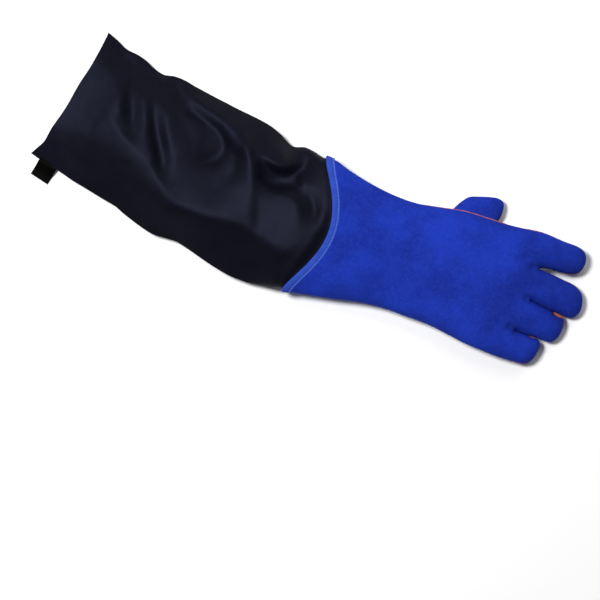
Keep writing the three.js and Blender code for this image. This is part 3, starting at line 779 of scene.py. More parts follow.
def open_welt(plan):
    x, y = plan[:, 0] - OPEN_AT[0], plan[:, 1] - OPEN_AT[1]
    drawn_in = OPEN_WIDTH * np.exp(-((x / OPEN_LENGTH) ** 2) - (y / 4) ** 2) * (y + 0.02 * x < 0.9)
    return plan - np.column_stack([np.zeros(len(plan)), drawn_in])


back_plan, back_faces, back_lift, back_seam, back_edge = panel_of(1)
clear_of_cuff = smooth_step(back_plan[:, 0], 36, 66)
back_creases = crease_height(back_plan, BACK_CREASES)
back_creases = back_creases + 0.9 * rolling(back_plan, 42, 2.0) + 0.22 * rolling(back_plan, 9, 7.0)
back_z = back_seam + back_lift + back_creases * back_edge**2 * clear_of_cuff + SEAM_ROOM
back_points = np.column_stack([open_welt(close_gaps(back_plan)), back_z])
back = make_object("back_leather", place(back_points), back_faces, BLUE)
thicken(back, LEATHER)
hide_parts("back_panel")
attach(back, "root")
print("back panel:", len(back_faces), "triangles, top at", round(back_z.max(), 1), "mm")

# %% [markdown]
# The palm side is drawn in the same outline, but it is sewn from three pieces: the cuff's front, which ends
# in a seam across the wrist, the palm with the fronts of the index and little fingers, and one piece for
# the fronts of the two middle fingers. The seams are drawn into the net, and the finished surface is then
# shared out between the pieces, so that their edges meet exactly. Along each seam the leather dips a
# little, because it is turned in and sewn.

# %% Palm side
WRIST = 94 * STEP
FRONTS = 168 * STEP
FRONTS_LEFT, FRONTS_RIGHT = MIDDLE[0][1], LITTLE[0][1]
WRIST_SEAM = np.array([(WRIST, y) for y in np.arange(-67.2, 70, STEP)])
FRONTS_SEAM = smooth_run([MIDDLE[0], (FRONTS + 3, FRONTS_LEFT), (FRONTS, FRONTS_LEFT - 3)])[1:]
FRONTS_SEAM = np.concatenate([FRONTS_SEAM, smooth_run([FRONTS_SEAM[-1], (FRONTS, FRONTS_RIGHT + 3)])[1:]])
last_corner = smooth_run([FRONTS_SEAM[-1], (FRONTS + 3, FRONTS_RIGHT), LITTLE[0]])
FRONTS_SEAM = np.concatenate([FRONTS_SEAM, last_corner[1:-1]])
PALM_CREASES = [
    ("below the fingers", 262, 68, 256, -66, 7, 1.6),
    ("line of the palm, upper", 238, 62, 214, -30, 6, 1.8),
    ("line of the palm, lower", 226, 20, 176, -38, 7, 1.6),
    ("gap of index and middle", 284, 38, 262, 34, 4, 3.6),
    ("gap of middle and ring", 287, -1.5, 264, -4, 4, 3.6),
    ("gap of ring and little", 281, -42, 262, -41, 4, 3.6),
    ("heel of the hand", 160, -40, 196, -58, 14, -1.6),
]

palm_plan, palm_faces, palm_lift, palm_seam, palm_edge = panel_of(-1, [WRIST_SEAM, FRONTS_SEAM])
dip = 1.1 * np.exp(-((distance_to(palm_plan, WRIST_SEAM, False) / 1.6) ** 2))
dip += 0.9 * np.exp(-((distance_to(palm_plan, FRONTS_SEAM, False) / 1.4) ** 2))
worn = smooth_step(palm_plan[:, 0], 24, 60) * palm_edge**2
palm_shape = crease_height(palm_plan, PALM_CREASES)
palm_shape = palm_shape + 0.8 * rolling(palm_plan, 38, 11.0) + 0.2 * rolling(palm_plan, 9, 17.0)
palm_z = palm_seam - palm_lift + palm_shape * worn + dip * palm_edge - SEAM_ROOM
palm_z = np.maximum(palm_z, BINDING_STACK)
palm_points = np.column_stack([close_gaps(palm_plan), palm_z])


def keep(points, faces, wanted):
    """The wanted triangles, with only the points that they use."""
    kept = faces[wanted]
    used, renamed = np.unique(kept, return_inverse=True)
    return points[used], renamed.reshape(kept.shape)


middle_of = palm_plan[palm_faces].mean(1)
on_cuff = middle_of[:, 0] < WRIST
on_fronts = (middle_of[:, 0] > FRONTS) & (middle_of[:, 1] < FRONTS_LEFT) & (middle_of[:, 1] > FRONTS_RIGHT)
for name, node, wanted in (
    ("cuff_front_leather", "cuff_front", on_cuff),
    ("palm_leather", "palm_panel", ~on_cuff & ~on_fronts),
    ("finger_fronts_leather", "finger_fronts", on_fronts),
):
    points, faces = keep(palm_points, palm_faces, wanted)
    panel = make_object(name, place(points), faces[:, ::-1], BLUE)
    thicken(panel, LEATHER)
    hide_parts(node)
    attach(panel, "root")
    print(name, "has", len(faces), "triangles")

# %% [markdown]
# The golden patch is a second layer on the palm, so it takes the palm's own surface, moved outwards by a
# stitch's gap and its thickness. Its border is pressed flat by the stitches, which gives it a rounded edge.

# %% Palm patch
PATCH = 1.6
PATCH_GAP = 0.3
PATCH_ROUNDING = 1.3
PATCH_GROOVE = 0.7  # depth to which the stitches pull the leather in
PATCH_STITCH_IN = 3.2  # from the border to the stitches
PATCH_CORNERS = [
    (182, 1), (216, -7.6), (251, -6.8), (266, 0), (271, 18), (274, 44), (274, 66), (258, 66.9),
    (238, 66), (214, 67), (190, 67), (166, 64), (155.5, 56), (153.2, 7)
]
# The corners are listed the other way round, so the outline is turned to run clockwise.
PATCH_OUTLINE = smooth_run([*PATCH_CORNERS, PATCH_CORNERS[0]])[:0:-1]


def outward_normals(points, faces):
    corner = points[faces]
    face_normal = np.cross(corner[:, 1] - corner[:, 0], corner[:, 2] - corner[:, 0])
    normal = np.zeros_like(points)
    for i in range(3):
        np.add.at(normal, faces[:, i], face_normal)
    return normal / np.maximum(np.linalg.norm(normal, axis=1, keepdims=True), 1e-9)


palm_normals = outward_normals(palm_points, palm_faces[:, ::-1])
patch_plan, patch_faces = fill(PATCH_OUTLINE, rows=(0.3, 0.8))
nearest = np.array([np.argmin(((palm_plan - p) ** 2).sum(1)) for p in patch_plan])
patch_rim = distance_to(patch_plan, PATCH_OUTLINE)
patch_depth = PATCH_GAP + PATCH * pillow(np.clip(patch_rim / PATCH_ROUNDING, 0, 1))
patch_depth -= PATCH_GROOVE * np.exp(-(((patch_rim - PATCH_STITCH_IN) / 0.8) ** 2))
slope = (patch_plan - palm_plan[nearest]) * palm_normals[nearest][:, :2]
on_palm = palm_z[nearest] - slope.sum(1) / np.minimum(palm_normals[nearest][:, 2], -0.35)
patch_points = np.column_stack([patch_plan, on_palm]) + palm_normals[nearest] * patch_depth[:, None]
patch_points[:, 2] = np.maximum(patch_points[:, 2], 0.3)
patch = make_object("golden_palm_patch", place(patch_points), patch_faces[:, ::-1], GOLD)
thicken(patch, 1.4)
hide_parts("palm_patch")
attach(patch, "root")
print("palm patch:", len(patch_faces), "triangles")

# %% [markdown]
# The thumb is a pouch of its own, sewn into the palm, and it lies on the floor under the palm's edge. It is
# blown up from its plan just like the hand. Its root is left open, and lies inside the palm.

# %% Thumb
THUMB_TIP = [
    (150, 40), (158, 62), (165.6, 76), (171.5, 86.5), (178.5, 94.5), (191.8, 99.4), (204, 102.8),
    (213, 104), (219.6, 101.6), (222.4, 95), (222.6, 86), (219.4, 74), (211, 58), (200, 42),
    (188, 24)
]
THUMB_RIM = smooth_run(THUMB_TIP)
THUMB_EDGE_REACH, THUMB_BROAD_REACH = 10, 30
THUMB_EDGE_HEIGHT, THUMB_BROAD_HEIGHT = {1: 10.5, -1: 10}, 6  # above its side seams, and below them
THUMB_AXIS = np.array([(160, 20), (178, 50), (190, 72), (198, 88), (203, 104)], float)
THUMB_MIDDLE = [30, 19.5, 14.2, 12.6, 11.6]  # height of the thumb's side seams at each point of its axis


def along_line(points, line):
    """Distance along a line of the nearest place to each point."""
    start, span = line[:-1], line[1:] - line[:-1]
    length = np.linalg.norm(span, axis=1)
    reach = np.r_[0, np.cumsum(length)]
    t = np.clip(((points[:, None] - start) * span).sum(2) / length**2, 0, 1)
    away = ((points[:, None] - start - t[..., None] * span) ** 2).sum(2)
    best = away.argmin(1)
    rows = np.arange(len(points))
    return reach[best] + t[rows, best] * length[best]


def thumb_seam(plan):
    knots = along_line(THUMB_AXIS, THUMB_AXIS)
    return curve_through(knots, THUMB_MIDDLE, along_line(plan, THUMB_AXIS))


thumb_plan, thumb_faces = fill(THUMB_RIM)
thumb_held = held_at(thumb_plan, THUMB_RIM)
thumb_round = pillow(membrane(thumb_plan, thumb_faces, thumb_held, THUMB_EDGE_REACH))
thumb_broad = membrane(thumb_plan, thumb_faces, thumb_held, THUMB_BROAD_REACH)
thumb_dents = (0.7 * rolling(thumb_plan, 26, 21.0) + 0.2 * rolling(thumb_plan, 8, 24.0)) * thumb_round**2
thumb_walls = []
for side in (1, -1):
    full = thumb_round * THUMB_EDGE_HEIGHT[side] + thumb_broad * THUMB_BROAD_HEIGHT
    z = thumb_seam(thumb_plan) + side * (full + SEAM_ROOM) + thumb_dents
    wall = np.column_stack([thumb_plan, np.maximum(z, 0.1)])
    thumb_walls.append((wall, thumb_faces if side > 0 else thumb_faces[:, ::-1]))
count = len(thumb_plan)
thumb = make_object(
    "thumb_leather",
    place(np.concatenate([wall for wall, _ in thumb_walls])),
    np.concatenate([thumb_walls[0][1], thumb_walls[1][1] + count]),
    BLUE,
)
thicken(thumb, LEATHER)
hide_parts("thumb")
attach(thumb, "root")
print("thumb:", 2 * len(thumb_faces), "triangles")

# %% [markdown]
# A welt is a strip of leather caught in the seam so that its folded edge shows as a line of colour. Here it
# is a small rounded bar, swept along the outline at the height of the seam. How far it stands out changes
# along the way: it is drawn in along the cuff, and shows best beside the thumb and round the fingertips.

# %% Welts
WELT = 1.3
WELT_DEPTH = 2.4
UP, DOWN, TO_THE_CUFF = (0, 0, 1), (0, 0, -1), (-1, 0, 0)


def tube_faces(rings, size):
    """Faces between rings of points that follow each other."""
    faces = []
    for i in range(rings - 1):
        a, b = i * size, (i + 1) * size
        faces += [(a + j, b + j, b + (j + 1) % size, a + (j + 1) % size) for j in range(size)]
    return faces


def sweep(path, outward, up, profiles):
    """Points and faces of a bar along a path. There is a profile of (out, up) pairs for each point of it."""
    outward, up = (np.broadcast_to(way, path.shape)[:, None] for way in (outward, up))
    rings = path[:, None] + profiles[..., 0, None] * outward + profiles[..., 1, None] * up
    count, size = profiles.shape[:2]
    ends = [tuple(range(size))[::-1], tuple(range((count - 1) * size, count * size))]
    faces = tube_faces(count, size) + ends
    return rings.reshape(-1, 3), faces


def sideways(path):
    """Unit vectors to the left of a line's direction in plan."""
    ahead = np.gradient(path[:, :2], axis=0)
    left = np.stack([-ahead[:, 1], ahead[:, 0]], -1)
    left /= np.maximum(np.linalg.norm(left, axis=1, keepdims=True), 1e-9)
    return np.column_stack([left, np.zeros(len(path))])


def rounded_bar(proud, depth, thickness, corners=7):
    angles = np.linspace(-math.pi / 2, math.pi / 2, corners)
    r = thickness / 2
    tip = [(proud - r + r * math.cos(a), r * math.sin(a)) for a in angles]
    return np.array([(-depth, -r), *tip, (-depth, r)])


def welt_bars(prouds):
    return np.stack([rounded_bar(proud, WELT_DEPTH, WELT) for proud in prouds])


RIM_LENGTH = lengths_to(HAND_RIM)


def rim_length_at(x, y):
    return RIM_LENGTH[np.argmin(((HAND_RIM - (x, y)) ** 2).sum(1))]


# Where along the outline, and how far the welt stands out of the leather there. Below 0 it is drawn in
# between them.
WELT_SHOWS = [
    ((9, 84), -0.3), ((118, 66), -0.3), ((130, 66.2), 0.3), ((152, 70), 0.4), ((166, 73), 0.75),
    ((222, 75), 0.8), ((236, 76), 0.0),
    ((248, 77), 0.0), ((258, 78), 0.7), ((280, 79), 0.4), ((300, 79), -0.2), ((333, 73), -0.3),
    ((337, 62), -0.1), ((331, 47.5), 0.6),
    ((320, 44), 0.8), ((311, 42.6), 0.0), ((300, 41.8), -0.3), ((288, 40), -0.5),
    ((303, 36.4), -0.5), ((318, 34.9), -0.1),
    ((334, 32.4), 0.5), ((346, 24), -0.1), ((350, 3), -0.3), ((345, -3.6), 0.0), ((332, -6), 0.2),
    ((318, -5), -0.5), ((290, -1.4), -0.8),
    ((305, -5), -0.8), ((316, -6), -0.2), ((322, -6.8), 1.1), ((333, -9), 1.0), ((336, -18), -0.2),
    ((333, -35), -0.3), ((322, -42), -0.2),
    ((312, -42), 0.0), ((303, -42), 0.4), ((296, -41.7), -0.5), ((285, -41.4), -0.5),
    ((295, -43), -0.5), ((303, -43.4), 0.7),
    ((310, -43.7), 0.1), ((316, -56), -0.3), ((312, -70), 0.2), ((306, -75), 0.9),
    ((292, -77.7), 0.3), ((276, -78.3), -0.3),
    ((150, -67), -0.3), ((60, -75), -0.3), ((9, -84), -0.3),
]
shows_at = [rim_length_at(*place_at) for place_at, _ in WELT_SHOWS]
rim_proud = curve_through(shows_at, [proud for _, proud in WELT_SHOWS], RIM_LENGTH)
past_binding = HAND_RIM[:, 0] > BINDING_END + 0.5
rim = np.column_stack([HAND_RIM, seam_height(*HAND_RIM.T)])[past_binding]
rim_proud = rim_proud[past_binding]
welt_points, welt_faces = sweep(rim, sideways(rim), UP, welt_bars(rim_proud))
welt = make_object("seam_welt_strip", place(welt_points), welt_faces, ORANGE)
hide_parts("seam_welt")
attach(welt, "root")

thumb_rim = np.column_stack([THUMB_RIM, thumb_seam(THUMB_RIM)])
thumb_bars = welt_bars(0.5 - 0.7 * smooth_step(lengths_to(THUMB_RIM), 40, 58))
points, faces = sweep(thumb_rim, sideways(thumb_rim), UP, thumb_bars)
thumb_welt = make_object("thumb_welt_strip", place(points), faces, ORANGE)
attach(thumb_welt, "root")

on_wrist = np.where(distance_to(palm_plan, WRIST_SEAM, False) < 0.02)[0]
on_wrist = on_wrist[np.argsort(palm_plan[on_wrist, 1])]
wrist_line = palm_points[on_wrist] - (0, 0, 0.4)
points, faces = sweep(wrist_line, DOWN, TO_THE_CUFF, welt_bars(np.ones(len(wrist_line))))
wrist_welt = make_object("wrist_welt_strip", place(points), faces, ORANGE)
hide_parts("wrist_welt")
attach(wrist_welt, "root")
print("welts:", len(rim), "+", len(thumb_rim), "+", len(wrist_line), "stations")

# %% [markdown]
# The cuff's edge is bound with a strip of lighter leather, folded over it. Its section is one closed loop
# of points, each given by how far it lies from the edge and how far outside the leather. Sweeping that loop
# round the cuff keeps the strip tight on the leather everywhere.

# %% Cuff binding
BINDING_SECTION = [
    (BINDING_END, 0.15), (BINDING_END, 0.75), (9.1, 1.3), (8.4, 1.35), (7.6, 1.1), (6.8, 1.45),
    (4, 1.7), (1, 1.7),
    (-0.5, 1.5), (-1.3, 0.9), (-BINDING_PROUD, 0), (-BINDING_PROUD, -1.2), (-1.2, -1.9),
    (-0.6, -2.1), (-0.2, -2.05), (-0.15, 0.12),
]
HIGHLIGHT_STRIPS = 5  # steps of the section before the stitches' groove, which get a paler copy of the binding leather: a painted highlight on the binding's raised edge
STITCH_ALONG, STITCH_OUT = 7.6, 1.25
CUFF_STEPS = 150


def round_the_cuff(along, grow, steps=CUFF_STEPS):
    """A closed line round the cuff: over the back to the far side and back underneath."""
    s = np.cos(np.linspace(0, math.pi, steps + 1))
    over = cuff_point(np.full_like(s, along), s, 1, grow)
    under = cuff_point(np.full_like(s, along), s, -1, grow)[1:-1][::-1]
    return np.concatenate([over, under])


loops = [round_the_cuff(along, grow) for along, grow in BINDING_SECTION]
size = len(loops[0])
band = np.concatenate(loops)
ripple = 0.12 * rolling(band[:, :2], 11, 31.0) + 0.1 * rolling(band[:, [0, 2]], 7, 33.0)
band[:, 0] += ripple
band[:, 2] = np.maximum(band[:, 2], 0.02)
band_faces = []
for i in range(len(loops)):
    a, b = i * size, (i + 1) % len(loops) * size
    band_faces += [(a + j, a + (j + 1) % size, b + (j + 1) % size, b + j) for j in range(size)]
binding = make_object("cuff_binding_strip", place(band), band_faces, PALE_BLUE)
# The first strips of the section, on the binding's raised edge, get the paler copy: a painted highlight.
binding.data.materials.append(BINDING_EDGE_HIGHLIGHT)
for face in binding.data.polygons[: HIGHLIGHT_STRIPS * size]:
    face.material_index = 1
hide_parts("cuff_binding")
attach(binding, "root")
print("binding:", len(band_faces), "faces")

# %% [markdown]
# The sleeve is a tube of cloth that lies empty, so it is flat at its open mouth, where its sides are sharp
# creases, and full where the cuff holds it round. A table gives each section: how far out the two sides
# are, how high the creases and the crest lie, and how much the section is pinched. It lies curved, so its
# sections turn on the way.

# %% Sleeve: tables
SLEEVE_LENGTH = 328
SLEEVE_HALF_WIDTH = 86
SLEEVE_HEIGHT = 44
CLOTH = 1.2
MOUTH_BOW = 9
LAP = 12  # how far the sleeve reaches into the cuff
INSIDE_CUFF = 2.3  # from the leather's outer face to the cloth's
HEM = 14
HEM_START = SLEEVE_LENGTH - HEM
HEM_STEP = 0.12
SLEEVE = {
    "along": [
        0.03, 0.09, 0.135, 0.165, 0.2, 0.27, 0.41, 0.455, 0.5, 0.6, 0.65, 0.69, 0.73, 0.77, 0.82,
        0.86, 0.91, 0.955, 1
    ],
    "left": [
        0.965, 0.96, 0.887, 0.9, 0.95, 0.984, 0.958, 0.954, 0.947, 0.942, 0.945, 0.925, 0.873,
        0.879, 0.925, 0.94, 0.935, 0.98, 1.016
    ],
    "right": [
        1.02, 1.085, 1.136, 1.155, 1.172, 1.163, 1.107, 1.14, 1.177, 1.13, 1.087, 1.083, 1.077,
        1.071, 1.066, 1.05, 1.036, 1.03, 1.015
    ],
    "edge": [
        0.52, 0.46, 0.42, 0.4, 0.38, 0.36, 0.33, 0.32, 0.3, 0.27, 0.26, 0.25, 0.24, 0.22, 0.2, 0.18,
        0.16, 0.145, 0.14
    ],
    "top": [
        1.27, 1.24, 1.2, 1.18, 1.15, 1.12, 1.06, 1.03, 1, 0.93, 0.9, 0.87, 0.84, 0.8, 0.74, 0.68,
        0.62, 0.58, 0.555
    ],
    "lens": [
        0.05, 0.1, 0.12, 0.15, 0.18, 0.2, 0.3, 0.33, 0.36, 0.45, 0.5, 0.55, 0.6, 0.65, 0.72, 0.8,
        0.9, 0.95, 1
    ],
}
print("the sleeve is drawn in", len(SLEEVE["along"]), "sections")

# %% [markdown]
# Folded cloth is nearly flat between its creases, because it bends easily and hardly stretches. So the
# folds of the upper face are drawn as lines, crests and valleys, and the cloth between them is found by
# letting it hang like a tent from those lines. Then it is rounded off a little, as thick cotton is. The
# lines follow the photographed glove.

# %% Sleeve: folds
# Each fold is a line of places: share of the length, share of the half width, and height in millimetres.
FOLDS = {
    "long crest": [
        (0.97, 0.22, 1), (0.92, 0.16, 2), (0.85, 0.06, 4), (0.79, -0.06, 5), (0.72, -0.18, 5),
        (0.68, -0.24, 4), (0.6, -0.3, 4),
        (0.53, -0.44, 4), (0.46, -0.58, 3), (0.36, -0.54, 3), (0.29, -0.44, 3), (0.24, -0.4, 3),
        (0.19, -0.44, 2),
    ],
    "shoulder by the mouth": [(0.97, -0.56, 0), (0.9, -0.5, 0), (0.78, -0.5, 0), (0.66, -0.5, 1)],
    "top of the first step": [
        (0.97, 0.86, 0), (0.93, 0.7, 1), (0.89, 0.52, 2), (0.83, 0.32, 3), (0.79, 0.1, 4)
    ],
    "foot of the first step": [
        (0.93, 0.96, -2), (0.86, 0.8, -4), (0.82, 0.6, -5), (0.78, 0.36, -5), (0.74, 0.1, -4),
        (0.71, -0.1, 0)
    ],
    "top of the second step": [
        (0.81, 0.9, -1), (0.77, 0.7, -1), (0.73, 0.46, -1), (0.695, 0.2, 0), (0.655, -0.04, 1),
        (0.6, -0.22, 3)
    ],
    "foot of the second step": [
        (0.72, 0.62, -4), (0.69, 0.38, -6), (0.65, 0.16, -7), (0.6, -0.08, -7), (0.565, -0.22, -5),
        (0.535, -0.36, 0)
    ],
    "bump at the side": [(0.74, 0.96, 1), (0.715, 0.88, 1)],
    "crease at the side": [(0.68, 0.95, -3), (0.65, 0.82, -6), (0.61, 0.7, -7)],
    "top of the basin": [
        (0.655, 0.52, -4), (0.615, 0.28, -2), (0.575, 0.06, -2), (0.52, -0.14, -2),
        (0.46, -0.24, -2)
    ],
    "middle of the basin": [(0.6, 0.54, -7), (0.53, 0.34, -8), (0.475, 0.16, -9)],
    "bottom of the basin": [
        (0.57, 0.64, -10), (0.5, 0.6, -12), (0.43, 0.55, -14), (0.4, 0.41, -16), (0.405, 0.22, -16),
        (0.43, 0.08, -13), (0.45, -0.06, -6),
    ],
    "belly": [(0.38, -0.2, -4), (0.345, 0.08, -8), (0.35, 0.38, -9)],
    "stripe above the basin": [(0.61, 0.86, 0), (0.52, 0.78, 0), (0.43, 0.73, -1), (0.37, 0.69, -1)],
    "top of the cross crease": [
        (0.335, 0.64, 0), (0.315, 0.5, 0), (0.292, 0.3, 0), (0.27, 0.02, 1), (0.24, -0.26, 2),
        (0.205, -0.46, 2),
    ],
    "foot of the cross crease": [
        (0.295, 0.54, -3), (0.274, 0.3, -2), (0.251, 0.04, -1), (0.218, -0.26, 0), (0.18, -0.46, 1)
    ],
    "hook": [
        (0.26, 0.44, -7), (0.225, 0.4, -11), (0.18, 0.45, -13), (0.14, 0.56, -12), (0.1, 0.71, -9),
        (0.075, 0.87, -4)
    ],
    "lip over the hook": [
        (0.255, 0.56, -2), (0.22, 0.51, -1), (0.185, 0.56, 0), (0.15, 0.68, 1), (0.115, 0.84, 0)
    ],
    "puff": [(0.28, 0.72, -2), (0.22, 0.7, 0), (0.17, 0.78, 1), (0.14, 0.9, 1)],
    "floor of the hook": [(0.25, 0.26, -9), (0.215, 0.26, -13), (0.17, 0.36, -14), (0.13, 0.47, -12)],
    "square before the cuff": [
        (0.225, 0.06, -3), (0.19, 0.14, -3), (0.145, 0.24, -2), (0.125, 0.14, 1), (0.105, -0.06, 2),
        (0.08, -0.26, 2)
    ],
    "pocket at the cuff": [(0.11, 0.5, -5), (0.08, 0.34, -7), (0.065, 0.2, -7), (0.06, 0.04, -4)],
    "shoulder before the cuff": [(0.16, -0.5, 2), (0.11, -0.44, 2), (0.07, -0.36, 2)],
    "cloth at the cuff": [(0.03, 0.2, 0), (0.03, -0.1, 1)],
}
FOLD_CELL = 2.0
FOLD_REACH = 60
FOLD_ROUNDING = 7
SHARPNESS_LOST = 1.2  # the rounding takes a part of each fold's height, which this gives back


def hang_between(lines, size):
    """Heights on a grid of cells that hangs between lines of (x, y, height), and is 0 at its border."""
    held, height = np.zeros(size, bool), np.zeros(size)
    for line in lines:
        fine = smooth_run(line, FOLD_CELL / 2)
        i, j = (np.clip(np.rint(fine[:, k] / FOLD_CELL).astype(int), 1, size[k] - 2) for k in (0, 1))
        held[i, j], height[i, j] = True, fine[:, 2]
    given, pull = height.copy(), 4 + (FOLD_CELL / FOLD_REACH) ** 2
    for _ in range(3000):
        inner = (height[2:, 1:-1] + height[:-2, 1:-1] + height[1:-1, 2:] + height[1:-1, :-2]) / pull
        height[1:-1, 1:-1] = np.where(held[1:-1, 1:-1], given[1:-1, 1:-1], inner)
    for _ in range(FOLD_ROUNDING):
        round_off = height[2:, 1:-1] + height[:-2, 1:-1] + height[1:-1, 2:] + height[1:-1, :-2]
        height[1:-1, 1:-1] = (height[1:-1, 1:-1] * 4 + round_off) / 8
    return height * SHARPNESS_LOST


fold_lines = [
    np.array(
        [(along * SLEEVE_LENGTH, (share + 1) * SLEEVE_HALF_WIDTH, height) for along, share, height in line]
    )
    for line in FOLDS.values()
]
fold_cells = (round(SLEEVE_LENGTH / FOLD_CELL) + 1, round(2 * SLEEVE_HALF_WIDTH / FOLD_CELL) + 1)
fold_grid = hang_between(fold_lines, fold_cells)


def fold_height(along, share):
    plan = np.column_stack([along * SLEEVE_LENGTH, share * SLEEVE_HALF_WIDTH])
    at = (plan + (0, SLEEVE_HALF_WIDTH)) / FOLD_CELL
    i, j = (np.clip(np.floor(at[:, k]).astype(int), 0, fold_grid.shape[k] - 2) for k in (0, 1))
    u, v = (np.clip(at[:, k] - (i, j)[k], 0, 1) for k in (0, 1))
    near = fold_grid[i, j] * (1 - v) + fold_grid[i, j + 1] * v
    far = fold_grid[i + 1, j] * (1 - v) + fold_grid[i + 1, j + 1] * v
    wide, fine = rolling(plan, 46, 41.0), rolling(plan, 12, 45.0)
    return (near * (1 - u) + far * u + 0.9 * wide + 0.2 * fine) * (1 - share**8)


# How much of the half width is flat on the thumb's side (left) and on the other side (right).
FLAT_TOP = {
    "along": [0.1, 0.24, 0.36, 0.46, 0.56, 0.67, 0.8, 0.9, 0.97],
    "left": [0.5, 0.5, 0.55, 0.57, 0.55, 0.5, 0.5, 0.58, 0.62],
    "right": [0.5, 0.4, 0.54, 0.6, 0.54, 0.48, 0.44, 0.44, 0.46],
}


def sunken_crown(along, s):
    """Section of a sunken tube of cloth, 1 on its flat top and 0 at the foot of its two slopes."""
    flat = either_side(FLAT_TOP, s, along)
    soft = 0.06 + 0.1 * along
    fall, whole = (np.hypot(x, soft) + x for x in (np.abs(s) - flat, 1 - flat))
    return 1 - fall / whole


print("folds from", round(fold_grid.min(), 1), "to", round(fold_grid.max(), 1), "mm")

# %% [markdown]
# One function gives any point of the cloth's outer face from its distance along the sleeve and its place
# round it. The tube is a grid of such points. Inside the cuff they follow the leather, and past it the
# tables and the folds. Geometry Nodes could bend a cylinder too, but the tab and the hem's stitches have to
# find the same surface, so one function serves them all. The hem is a second layer of cloth, which makes
# the mouth a little thicker.

# %% Sleeve: surface


def sleeve_point(distance, s, side, folds=1.0):
    """Points of the cloth's outer face. distance is in millimetres from the cuff's edge to the mouth."""
    along = np.clip(distance / SLEEVE_LENGTH, 0, 1)
    half = either_side(SLEEVE, s, along) * SLEEVE_HALF_WIDTH
    edge, lens = along_glove(SLEEVE, "edge", along) * SLEEVE_HEIGHT, along_glove(SLEEVE, "lens", along)
    rise = along_glove(SLEEVE, "top", along) * SLEEVE_HEIGHT - edge
    sunken = smooth_step(along, 0.02, 0.16)
    section_shape = crown(s, 2.4, lens) * (1 - sunken) + sunken_crown(along, s) * sunken
    over = edge + rise * section_shape + folds * fold_height(along, s)
    plan = np.column_stack([distance, s * SLEEVE_HALF_WIDTH])
    under = edge - 1.06 * edge * crown(s, 4, lens) + 1.4 * (0.6 + rolling(plan, 34, 51.0)) * (1 - s**4)
    z = np.where(side > 0, over, under)
    hem = smooth_step(distance, HEM_START - 1.2, HEM_START + 0.4)
    z += side * HEM_STEP * hem * (1 - s**8)
    dent, lip = np.exp(-(((s - 0.14) / 0.28) ** 2)), np.exp(-(((s + 0.76) / 0.15) ** 2))
    mouth = (MOUTH_BOW * (1 - s * s) - 2.2 * dent + 3 * lip) * smooth_step(along, 0.8, 1)
    turn = HAND_TURN + (MOUTH_TURN - HAND_TURN) * smooth_step(along, 0, 1)
    bow = np.where(side > 0, bow_at(distance, s, 1), bow_at(distance, s, -1))
    spun = turned(np.stack([bow + mouth, half * s], -1), turn)
    centre = turned(np.stack([-distance, np.zeros_like(distance)], -1), SLEEVE_TURN)
    free = np.column_stack([spun + centre, np.maximum(z, 0.02)])
    above, below = (cuff_point(-distance, s, way, -INSIDE_CUFF) for way in (1, -1))
    inside = turned(np.where(side[:, None] > 0, above, below), HAND_TURN)
    share = smooth_step(distance, 2, 15)[:, None]
    return inside * (1 - share) + free * share


AROUND, LENGTHWISE = 92, 200
angles = np.linspace(0, 2 * math.pi, 2 * AROUND, endpoint=False)
ring_s, ring_side = np.cos(angles), np.where(angles <= math.pi, 1.0, -1.0)
before_hem = np.linspace(-LAP, HEM_START - 2, LENGTHWISE - 14)[:-1]
stations = np.concatenate([before_hem, np.linspace(HEM_START - 2, SLEEVE_LENGTH, 15)])
grid_d, grid_s = (g.ravel() for g in np.meshgrid(stations, ring_s, indexing="ij"))
grid_side = np.tile(ring_side, len(stations))
sleeve_points = sleeve_point(grid_d, grid_s, grid_side)
ring = len(ring_s)
sleeve_faces = tube_faces(len(stations), ring)
sleeve = make_object("sleeve_cloth_tube", place(sleeve_points, 0), sleeve_faces, BLACK_CLOTH)
cloth_map = sleeve.data.uv_layers.new(name="cloth")
girth = 4 * SLEEVE_HALF_WIDTH * MM
for face in sleeve.data.polygons:
    numbers = [sleeve.data.loops[loop].vertex_index for loop in face.loop_indices]
    last_strip = any(number % ring == ring - 1 for number in numbers)
    for loop, number in zip(face.loop_indices, numbers):
        i, j = divmod(number, ring)
        if j == 0 and last_strip:
            j = ring
        cloth_map.data[loop].uv = (stations[i] * MM, j / ring * girth)
thicken(sleeve, CLOTH)
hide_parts("sleeve")
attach(sleeve, "root")


def size_of_tube(points):
    """Mean girth and mean length of the tube, and its girth at the cuff, in the middle and at the mouth."""
    rings = points.reshape(len(stations), ring, 3)
    girths = np.linalg.norm(np.roll(rings, -1, axis=1) - rings, axis=2).sum(1)
    lengths = np.linalg.norm(np.diff(rings, axis=0), axis=2).sum(0)
    mean_girth = np.average(girths, weights=np.gradient(stations))
    return mean_girth, lengths.mean(), girths[[0, len(girths) // 2, -1]]


smooth_size = size_of_tube(sleeve_point(grid_d, grid_s, grid_side, folds=0))
sizes = {"smooth": smooth_size, "folded": size_of_tube(sleeve_points)}
for state, (mean_girth, mean_length, girths) in sizes.items():
    print(
        state, "sleeve:", mean_girth.round(1), "mm round,", mean_length.round(1), "mm long, girths",
        girths.round()
    )

# %% [markdown]
# A small tab of the same cloth hangs from the sleeve's mouth, to pull it on by. It is a strip folded back
# on itself, so its section is a thin loop, and it droops from the sleeve's side crease to the floor.

# %% Sleeve tab
TAB_WIDTH = 24
TAB_STATION = 0.926
TAB_TURN = SLEEVE_TURN - math.radians(4)
TAB_MIDDLE_LINE = [(-2.5, 6.6), (1.5, 6.7), (5, 5.2), (9, 3.1), (13, 1.9), (17, 1.6), (19.8, 1.5)]
LAYER = 1.1

